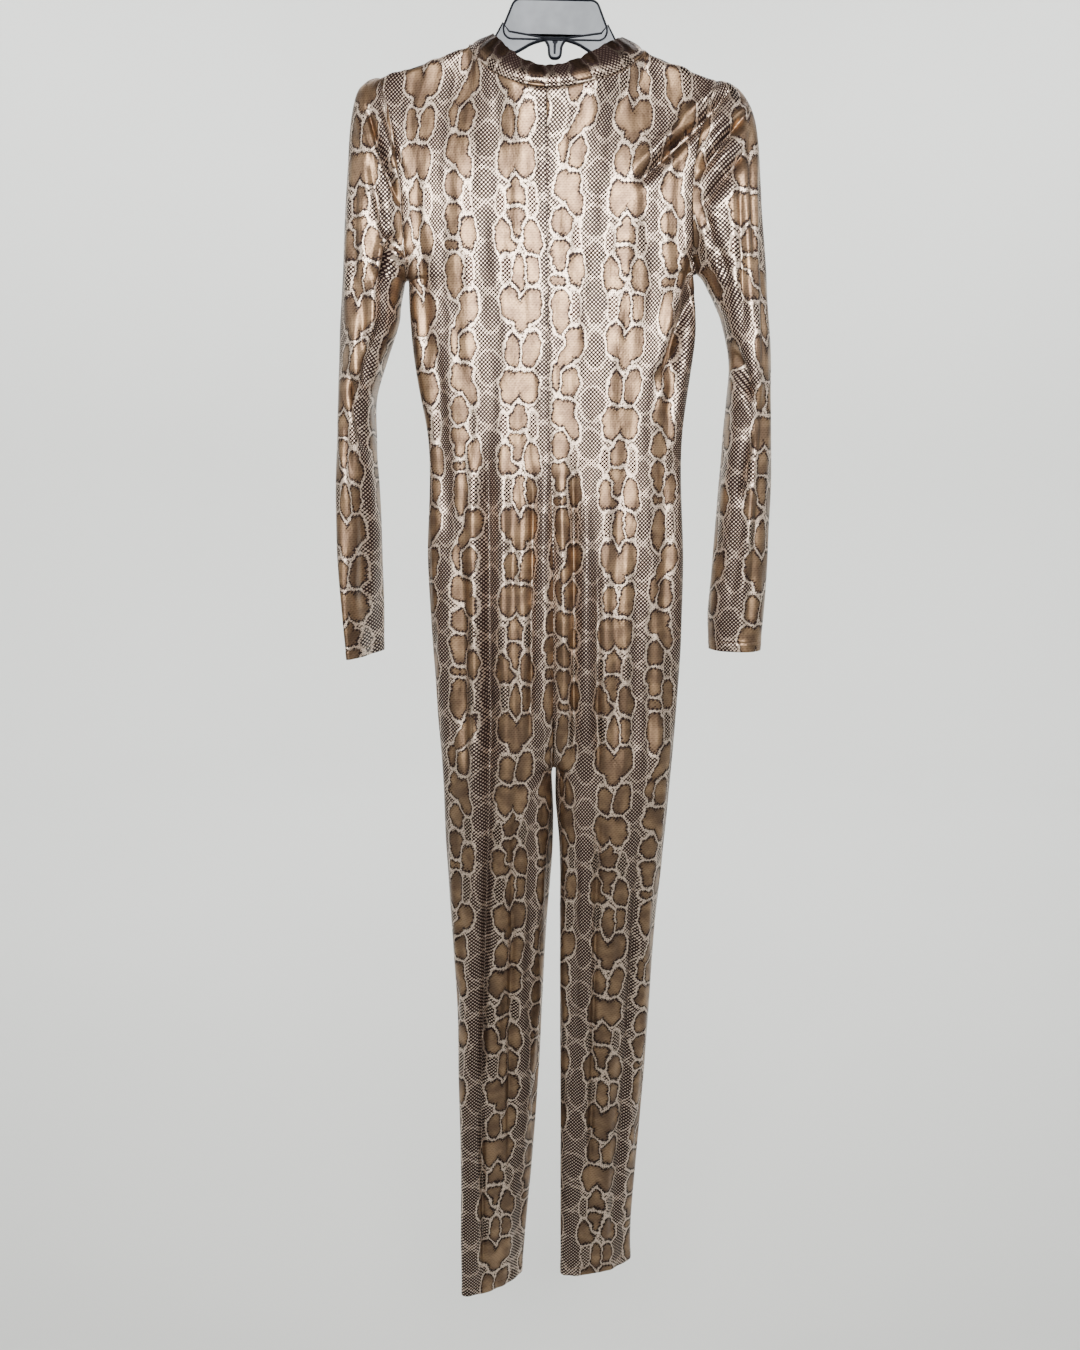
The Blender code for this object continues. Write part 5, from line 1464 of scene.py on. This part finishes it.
@dataclass
class Hanger:
    """Moulded shirt hanger: bare plate, two arms, a small tab with a slot, and a wire hook."""

    pattern: Pattern
    plate_thick: float = 0.0034
    web_thick: float = 0.0038
    rim_radius: float = 0.0014
    arm_end: float = 0.0055
    reach: float = 0.181
    wire: float = 0.0034
    hook_inner: float = 0.018

    def tilted(self, outline: Array) -> Array:
        """An X-Z outline turned about the rail, as points in the hanging plane."""
        turn = -self.pattern.tilt
        x, z = outline[:, 0], outline[:, 1]
        return np.stack([
            x * math.cos(turn) + z * math.sin(turn), 0 * x, z * math.cos(turn) - x * math.sin(turn)
        ], axis=-1)

    def plate_outline(self) -> Array:
        """The plate: a rounded trapezoid, wider below."""
        return rounded([
            (-0.0425, -0.0650, 0.0065), (0.0425, -0.0650, 0.0065),
            (0.0552, -0.0945, 0.0060), (0.0500, -0.1030, 0.0055),
            (-0.0500, -0.1030, 0.0055), (-0.0552, -0.0945, 0.0060),
        ])

    def arm_outline(self, sign: int) -> Array:
        """One arm, from the plate's lower corner out to its round end and back below."""
        reaches = np.linspace(self.pattern.arm_start[0], self.reach - self.arm_end, 24)
        top = np.stack([reaches, self.pattern.arm_level(reaches)], axis=-1)
        end_x = self.reach - self.arm_end
        tip = arc((end_x, float(self.pattern.arm_level(end_x)) - self.arm_end), self.arm_end, 65, -90, 10)
        knots = np.array([0.0120, 0.024, 0.038, 0.062, 0.095, 0.130, 0.160])
        heights = np.array([-0.1030, -0.1065, -0.1140, -0.1225, -0.1320, -0.1420, -0.1505])
        under_x = np.linspace(0.160, 0.012, 30)
        under = np.stack([under_x, hermite(knots, heights, under_x)], axis=-1)
        start = np.array([[0.0105, -0.1015], [0.0480, -0.0960], [0.0545, -0.0880]])
        outline = np.concatenate([start, top, tip, under])
        outline[:, 0] *= sign
        return outline[::sign]

    def tab_outline(self) -> Array:
        """The small tab below the plate, with a round end."""
        return rounded([
            (-0.0112, -0.1015, 0.0010), (0.0112, -0.1015, 0.0010), (0.0066, -0.1085, 0.0030),
            (0.0056, -0.1205, 0.0050), (-0.0056, -0.1205, 0.0050), (-0.0066, -0.1085, 0.0030),
        ])

    def slab(self, name: str, outline: Array, thick: float, finish: bpy.types.Material) -> None:
        """A flat piece with softened edges, which rides and stands for the hanger."""
        places = self.tilted(outline)
        work = bmesh.new()
        front = places.copy()
        front[:, 1] = -thick / 2
        face = work.faces.new([work.verts.new(p) for p in front])
        made = bmesh.ops.extrude_face_region(work, geom=[face])
        moved = [v for v in made["geom"] if isinstance(v, bmesh.types.BMVert)]
        bmesh.ops.translate(work, verts=moved, vec=(0, thick, 0))
        bmesh.ops.recalc_face_normals(work, faces=work.faces)
        mesh = bpy.data.meshes.new(name)
        work.to_mesh(mesh)
        work.free()
        piece = new_object(name, mesh, finish)
        bevel = piece.modifiers.new("edge", "BEVEL")
        bevel.width = 0.0006
        bevel.segments = 3
        bevel.limit_method = "ANGLE"
        bevel.angle_limit = math.radians(50)
        mesh.shade_smooth()
        mesh.set_sharp_from_angle(angle=math.radians(40))
        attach(piece, GARMENT)
        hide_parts("hanger")
        LOG.info("%s", name)

    def rims(self, finish: bpy.types.Material) -> None:
        """Round rims along the outlines of plate, arms and tab."""
        profile = circle(self.rim_radius, 10) * np.array([1.0, 2.1])
        paths = []
        arms = [self.arm_outline(1), self.arm_outline(-1)]
        for outline in (self.plate_outline(), *arms, self.tab_outline()):
            path = self.tilted(outline)
            side, up = flat_frames(path, True)
            paths.append((path, side, up, profile, True))
        piece = new_object("hanger_rims", swept_mesh("hanger_rims", paths), finish)
        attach(piece, GARMENT)
        LOG.info("hanger_rims")

    def slot_mark(self, finish: bpy.types.Material) -> None:
        """The slot down the tab, with its wider top, as a dark inlay on both faces: painted shade where
        the slot's hole is.
        """
        outline = rounded([
            (-0.0030, -0.1035, 0.0006), (0.0030, -0.1035, 0.0006), (0.0026, -0.1062, 0.0006),
            (0.0012, -0.1068, 0.0003), (0.0008, -0.1168, 0.0005), (-0.0014, -0.1168, 0.0005),
            (-0.0016, -0.1066, 0.0003), (-0.0026, -0.1062, 0.0006),
        ], 3)
        self.slab("hanger_slot", outline, self.plate_thick + 0.0002, finish)

    def hook(self, finish: bpy.types.Material) -> None:
        """The wire hook, on the same line as its solid."""
        radius = self.hook_inner + self.wire / 2
        over = arc((0.0, -self.hook_inner), radius, 195, -38, 60)
        bend = 0.012
        turn = math.radians(-38)
        centre = over[-1] + bend * np.array([math.cos(turn), math.sin(turn)])
        back = arc(tuple(centre), bend, 142, 178, 14)[1:]
        aside = back[-1, 0]
        stem = np.stack([np.full(8, aside), np.linspace(-0.061, -0.0655, 8)], axis=-1)
        line = np.concatenate([over, back, stem])
        line[:, 0] -= aside * smooth_step((-0.022 - line[:, 1]) / 0.030)
        path = self.tilted(line)
        side, up = flat_frames(path, False)
        mesh = swept_mesh("wire_hook", [(path, side, up, circle(self.wire / 2, 20), False)])
        piece = new_object("wire_hook", mesh, finish)
        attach(piece, GARMENT)
        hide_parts("hanger_hook")
        LOG.info("wire_hook")

    def build(self) -> None:
        """Makes every piece of the hanger."""
        smoke, pale_smoke = (0.105, 0.118, 0.138, 1.0), (0.15, 0.165, 0.19, 1.0)
        # Near-black painted shade, not the plastic's own colour: the rims get it for the dark look of the
        # plastic's edges, and the slot inlay for its hole.
        painted_shade_black, pale_painted_shade_black = (0.004, 0.005, 0.009, 1.0), (0.008, 0.010, 0.014, 1.0)
        steel, dull_steel = (0.62, 0.62, 0.64, 1.0), (0.40, 0.40, 0.42, 1.0)
        body = Plastic("smoke grey plastic", smoke, pale_smoke).material()
        edge = Plastic("smoke grey rims", painted_shade_black, pale_painted_shade_black, 0.4, 0.05).material()
        self.slab("hanger_plate", self.plate_outline(), self.plate_thick, body)
        self.slab("hanger_arm_left", self.arm_outline(1), self.web_thick, body)
        self.slab("hanger_arm_right", self.arm_outline(-1), self.web_thick, body)
        self.slab("hanger_tab", self.tab_outline(), self.plate_thick - 0.0003, body)
        self.rims(edge)
        self.slot_mark(edge)
        self.hook(Metal("plated steel wire", steel, dull_steel, 0.18).material())


def rods(places: Array, along: Array, out: Array, length: float, radius: float) -> bpy.types.Mesh:
    """Many short six-sided rods with drawn-in ends, as one mesh.

    Args:
        places: n by 3 middles.
        along: n by 3 unit directions.
        out: n by 3 unit directions away from the cloth.
        length: of each rod.
        radius: of each rod.
    """
    across = np.cross(along, out)
    angle = 2 * math.pi * np.arange(6) / 6
    stations = np.array([-0.5, -0.36, 0.36, 0.5])
    girth = np.array([0.35, 1.0, 1.0, 0.35]) * radius
    sink = np.array([-0.9, 0.0, 0.0, -0.9]) * radius
    ring = np.cos(angle)[:, None] * across[:, None, None] + np.sin(angle)[:, None] * out[:, None, None]
    middle = along[:, None] * (stations * length)[:, None] + out[:, None] * sink[:, None]
    points = places[:, None, None] + middle[:, :, None] + ring * girth[:, None, None]
    number = np.arange(len(places) * 24).reshape(len(places), 4, 6)
    after = np.roll(number, -1, axis=2)
    sides = np.stack([number[:, :-1], after[:, :-1], after[:, 1:], number[:, 1:]], axis=-1)
    caps = [number[:, 0, :4][:, ::-1], number[:, 0, [0, 3, 4, 5]][:, ::-1]]
    caps += [number[:, 3, :4], number[:, 3, [0, 3, 4, 5]]]
    faces = np.concatenate([sides.reshape(-1, 4), *caps])
    mesh = bpy.data.meshes.new("rods")
    mesh.from_pydata(points.reshape(-1, 3), [], faces)
    mesh.shade_smooth()
    return mesh


def evenly(path: Array, normals: Array, pitch: float) -> tuple[Array, Array, Array]:
    """Places every pitch along a path, with the path's direction and the normal there."""
    run = np.concatenate([[0.0], np.cumsum(np.linalg.norm(np.diff(path, axis=0), axis=1))])
    at = np.arange(pitch / 2, run[-1], pitch)
    place = np.stack([np.interp(at, run, path[:, k]) for k in range(3)], axis=-1)
    ahead = np.stack([np.interp(at + pitch / 4, run, path[:, k]) for k in range(3)], axis=-1)
    behind = np.stack([np.interp(at - pitch / 4, run, path[:, k]) for k in range(3)], axis=-1)
    along = ahead - behind
    along /= np.maximum(np.linalg.norm(along, axis=1, keepdims=True), 1e-9)
    out = np.stack([np.interp(at, run, normals[:, k]) for k in range(3)], axis=-1)
    out -= along * np.sum(out * along, axis=1, keepdims=True)
    return place, along, out / np.linalg.norm(out, axis=1, keepdims=True)


@dataclass(frozen=True)
class Thread:
    """Sewing thread, slightly fuzzy."""

    name: str
    colour: tuple
    pale: tuple

    def material(self) -> bpy.types.Material:
        """The thread's material, on Object coordinates."""
        graph = Graph(self.name)
        where = graph.node("ShaderNodeTexCoord", {}, [], output=3)
        fibre = graph.noise(where, 1800.0, 2.0)
        graph.set(Base_Color=graph.mix(fibre, self.colour, self.pale), Roughness=0.65 + fibre * 0.15)
        graph.bump(fibre, 0.3, 0.0001)
        return graph.material


@dataclass
class Sewing:
    """Rows of stitches at the hems, the cuffs and the neck seam."""

    garment: Garment
    length: float = 0.0026
    pitch: float = 0.0034
    radius: float = 0.00024
    neck_drop: float = 0.0022

    def row(self, name: str, height: float, from_top: bool) -> tuple[Array, Array]:
        """The line on a piece's outside at a distance from its top or its lower edge."""
        outside, normals = self.garment.outsides[name], self.garment.normals[name]
        if not from_top:
            outside, normals = outside[::-1], normals[::-1]
        run = lengths(outside, 0)
        k = np.maximum((run < height).sum(axis=0), 1)
        columns = np.arange(outside.shape[1])
        before, after = run[k - 1, columns], run[k, columns]
        part = ((height - before) / (after - before))[:, None]
        path = outside[k - 1, columns] * (1 - part) + outside[k, columns] * part
        normal = normals[k, columns]
        if self.garment.grids[name].closed:
            path = np.concatenate([path, path[:1]])
            normal = np.concatenate([normal, normal[:1]])
        return path, normal

    def stitch(self, name: str, lines: Sequence[tuple[Array, Array]], finish: bpy.types.Material) -> None:
        """One piece of all the stitches along some lines."""
        parts = [evenly(path, normals, self.pitch) for path, normals in lines]
        places, along, out = (np.concatenate(item) for item in zip(*parts))
        mesh = rods(places + out * self.radius * 0.5, along, out, self.length, self.radius)
        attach(new_object(name, mesh, finish), GARMENT)
        LOG.info("%s: %d stitches", name, len(places))

    def build(self) -> None:
        """Sews hems, cuffs and the neck."""
        thread = Thread("brown thread", (0.10, 0.060, 0.040, 1.0), (0.22, 0.15, 0.10, 1.0)).material()
        height = self.garment.hem_depth - self.garment.stitch_inset
        for side in SIDES:
            leg = [self.row(f"{face.name.lower()}_{side.name}", height, False) for face in Face]
            self.stitch(f"hem_stitches_{side.name}", leg, thread)
            cuff = [self.row(f"sleeve_{side.name}", height, False)]
            self.stitch(f"cuff_stitches_{side.name}", cuff, thread)
        neck = []
        half = int(np.sum(self.garment.pattern.across() <= self.garment.pattern.neck_share))
        for side in SIDES:
            for face in Face:
                path, normals = self.row(f"{face.name.lower()}_{side.name}", self.neck_drop, True)
                neck.append((path[:half], normals[:half]))
        self.stitch("neck_stitches", neck, thread)


@dataclass
class Zip:
    """Concealed centre-back zip: its coil in the slit, with brass slider and pull tab."""

    frame: dict
    garment: Garment
    opening_end: float = -0.46
    tooth: tuple[float, float] = (0.0030, 0.00042)
    pitch: float = 0.0013
    sunk: float = 0.0002

    def coil(self, finish: bpy.types.Material) -> None:
        """Teeth across the slit, from the neck's rim down to the stop."""
        back, band = self.garment.outsides["back_left"], self.garment.outsides["neck_band"]
        path = np.concatenate([band[::-1, -1], back[1:, 0]])
        normals = np.concatenate([
            self.garment.normals["neck_band"][::-1, -1], self.garment.normals["back_left"][1:, 0]
        ])
        keep = path[:, 2] > self.opening_end
        place, along, out = evenly(path[keep], normals[keep], self.pitch)
        across = np.cross(out, along)
        mesh = rods(place - out * self.sunk, across, out, *self.tooth)
        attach(new_object("zip_coil", mesh, finish), GARMENT)
        LOG.info("zip_coil: %d teeth", len(place))

    def build(self) -> None:
        """Gives the solids their brass and makes the coil."""
        brass = Metal("dulled brass", (0.46, 0.33, 0.17, 1.0), (0.20, 0.13, 0.07, 1.0), 0.26).material()
        for node in ("zip_slider", "zip_pull"):
            piece = self.frame["nodes"][node]
            piece.data.materials.clear()
            piece.data.materials.append(brass)
            LOG.info("%s", node)
        self.coil(Thread("brown coil", (0.06, 0.035, 0.025, 1.0), (0.12, 0.08, 0.06, 1.0)).material())


@dataclass
class Studio:
    """Pale floor that sweeps up behind, soft lights and the camera."""

    lens: float = 29.33
    pitch: float = 10.8
    stand: tuple[float, float, float] = (0.0, -1.25, -0.538)
    shift: float = -0.0126
    floor_z: float = -1.86
    room: float = 5.0
    cove: float = 1.4

    def floor(self) -> None:
        """A round level floor that turns up in a quarter circle into a wall all round."""
        bend = np.linspace(0, math.pi / 2, 16)
        reach = np.concatenate([[0.001], self.room - self.cove + self.cove * np.sin(bend), [self.room]])
        rise = np.concatenate([[0.0], self.cove - self.cove * np.cos(bend), [self.room]])
        angle = np.linspace(0, 2 * math.pi, 97)[:-1, None]
        height = np.broadcast_to(rise + self.floor_z, (96, len(rise)))
        grid = np.stack([reach * np.cos(angle), reach * np.sin(angle), height], axis=-1)
        number = np.arange(96 * len(rise)).reshape(96, len(rise))
        after = np.roll(number, -1, axis=0)
        faces = np.stack([number[:, :-1], number[:, 1:], after[:, 1:], after[:, :-1]], axis=-1)
        mesh = bpy.data.meshes.new("floor")
        mesh.from_pydata(grid.reshape(-1, 3), [], faces.reshape(-1, 4))
        mesh.shade_smooth()
        graph = Graph("pale paper")
        where = graph.node("ShaderNodeTexCoord", {}, [], output=3)
        cloud = graph.noise(where, 1.2, 2.0)
        paper = graph.mix(cloud, (0.70, 0.71, 0.69, 1.0), (0.74, 0.75, 0.73, 1.0))
        graph.set(Base_Color=paper, Roughness=0.9)
        new_object("floor", mesh, graph.material)

    def light(self, name: str, at: tuple, aim: tuple, size: tuple, power: float, tint: tuple,
              spread: float = 180.0) -> None:
        """A rectangular softbox; its light stays within spread degrees."""
        lamp = bpy.data.lights.new(name, "AREA")
        lamp.shape = "RECTANGLE"
        lamp.size, lamp.size_y = size
        lamp.energy = power
        lamp.color = tint
        lamp.spread = math.radians(spread)
        piece = bpy.data.objects.new(name, lamp)
        piece.location = at
        piece.rotation_euler = (Vector(aim) - Vector(at)).to_track_quat("-Z", "Y").to_euler()
        bpy.context.scene.collection.objects.link(piece)

    def build(self) -> None:
        """Makes floor, lights, world and camera."""
        self.floor()
        self.light("key", (0.0, -1.50, 0.02), (0.0, 0.0, -0.30), (1.1, 0.8), 24.0, (1.0, 0.96, 0.90),
                   spread=95.0)
        self.light("left strip", (-1.4, -0.5, 0.1), (0.0, 0.0, -0.5), (0.3, 1.2), 6.0, (1.0, 0.99, 0.97))
        self.light("right strip", (1.4, -0.5, 0.1), (0.0, 0.0, -0.5), (0.3, 1.2), 6.0, (0.98, 0.99, 1.0))
        white, wide = (1.0, 1.0, 1.0), (2.0, 1.0)
        for name, x in (("left", -1.5), ("right", 1.5)):
            self.light(f"back wall {name}", (x, 1.5, 2.3), (x * 1.2, 5.0, -0.9), wide, 190.0, white)
            self.light(f"front wall {name}", (x, -2.6, 2.5), (x, -5.0, 0.0), wide, 26.0, white)
        world = bpy.data.worlds.new("studio")
        world.use_nodes = True
        back = world.node_tree.nodes["Background"]
        back.inputs["Color"].default_value = (0.93, 0.95, 1.0, 1.0)
        back.inputs["Strength"].default_value = 0.10
        bpy.context.scene.world = world
        eye = bpy.data.cameras.new("camera")
        eye.lens = self.lens
        eye.sensor_width = 36.0
        eye.shift_x = self.shift
        camera = bpy.data.objects.new("camera", eye)
        camera.location = self.stand
        camera.rotation_euler = (math.radians(90 - self.pitch), 0.0, 0.0)
        bpy.context.scene.collection.objects.link(camera)
        bpy.context.scene.camera = camera
        LOG.info("studio")


def main() -> None:
    """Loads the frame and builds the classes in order."""
    logging.basicConfig(level=logging.INFO, format="%(message)s")
    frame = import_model()
    Studio().build()
    garment = Garment()
    garment.build()
    Sewing(garment).build()
    Hanger(garment.pattern).build()
    Zip(frame, garment).build()


if __name__ == "__main__":
    main()
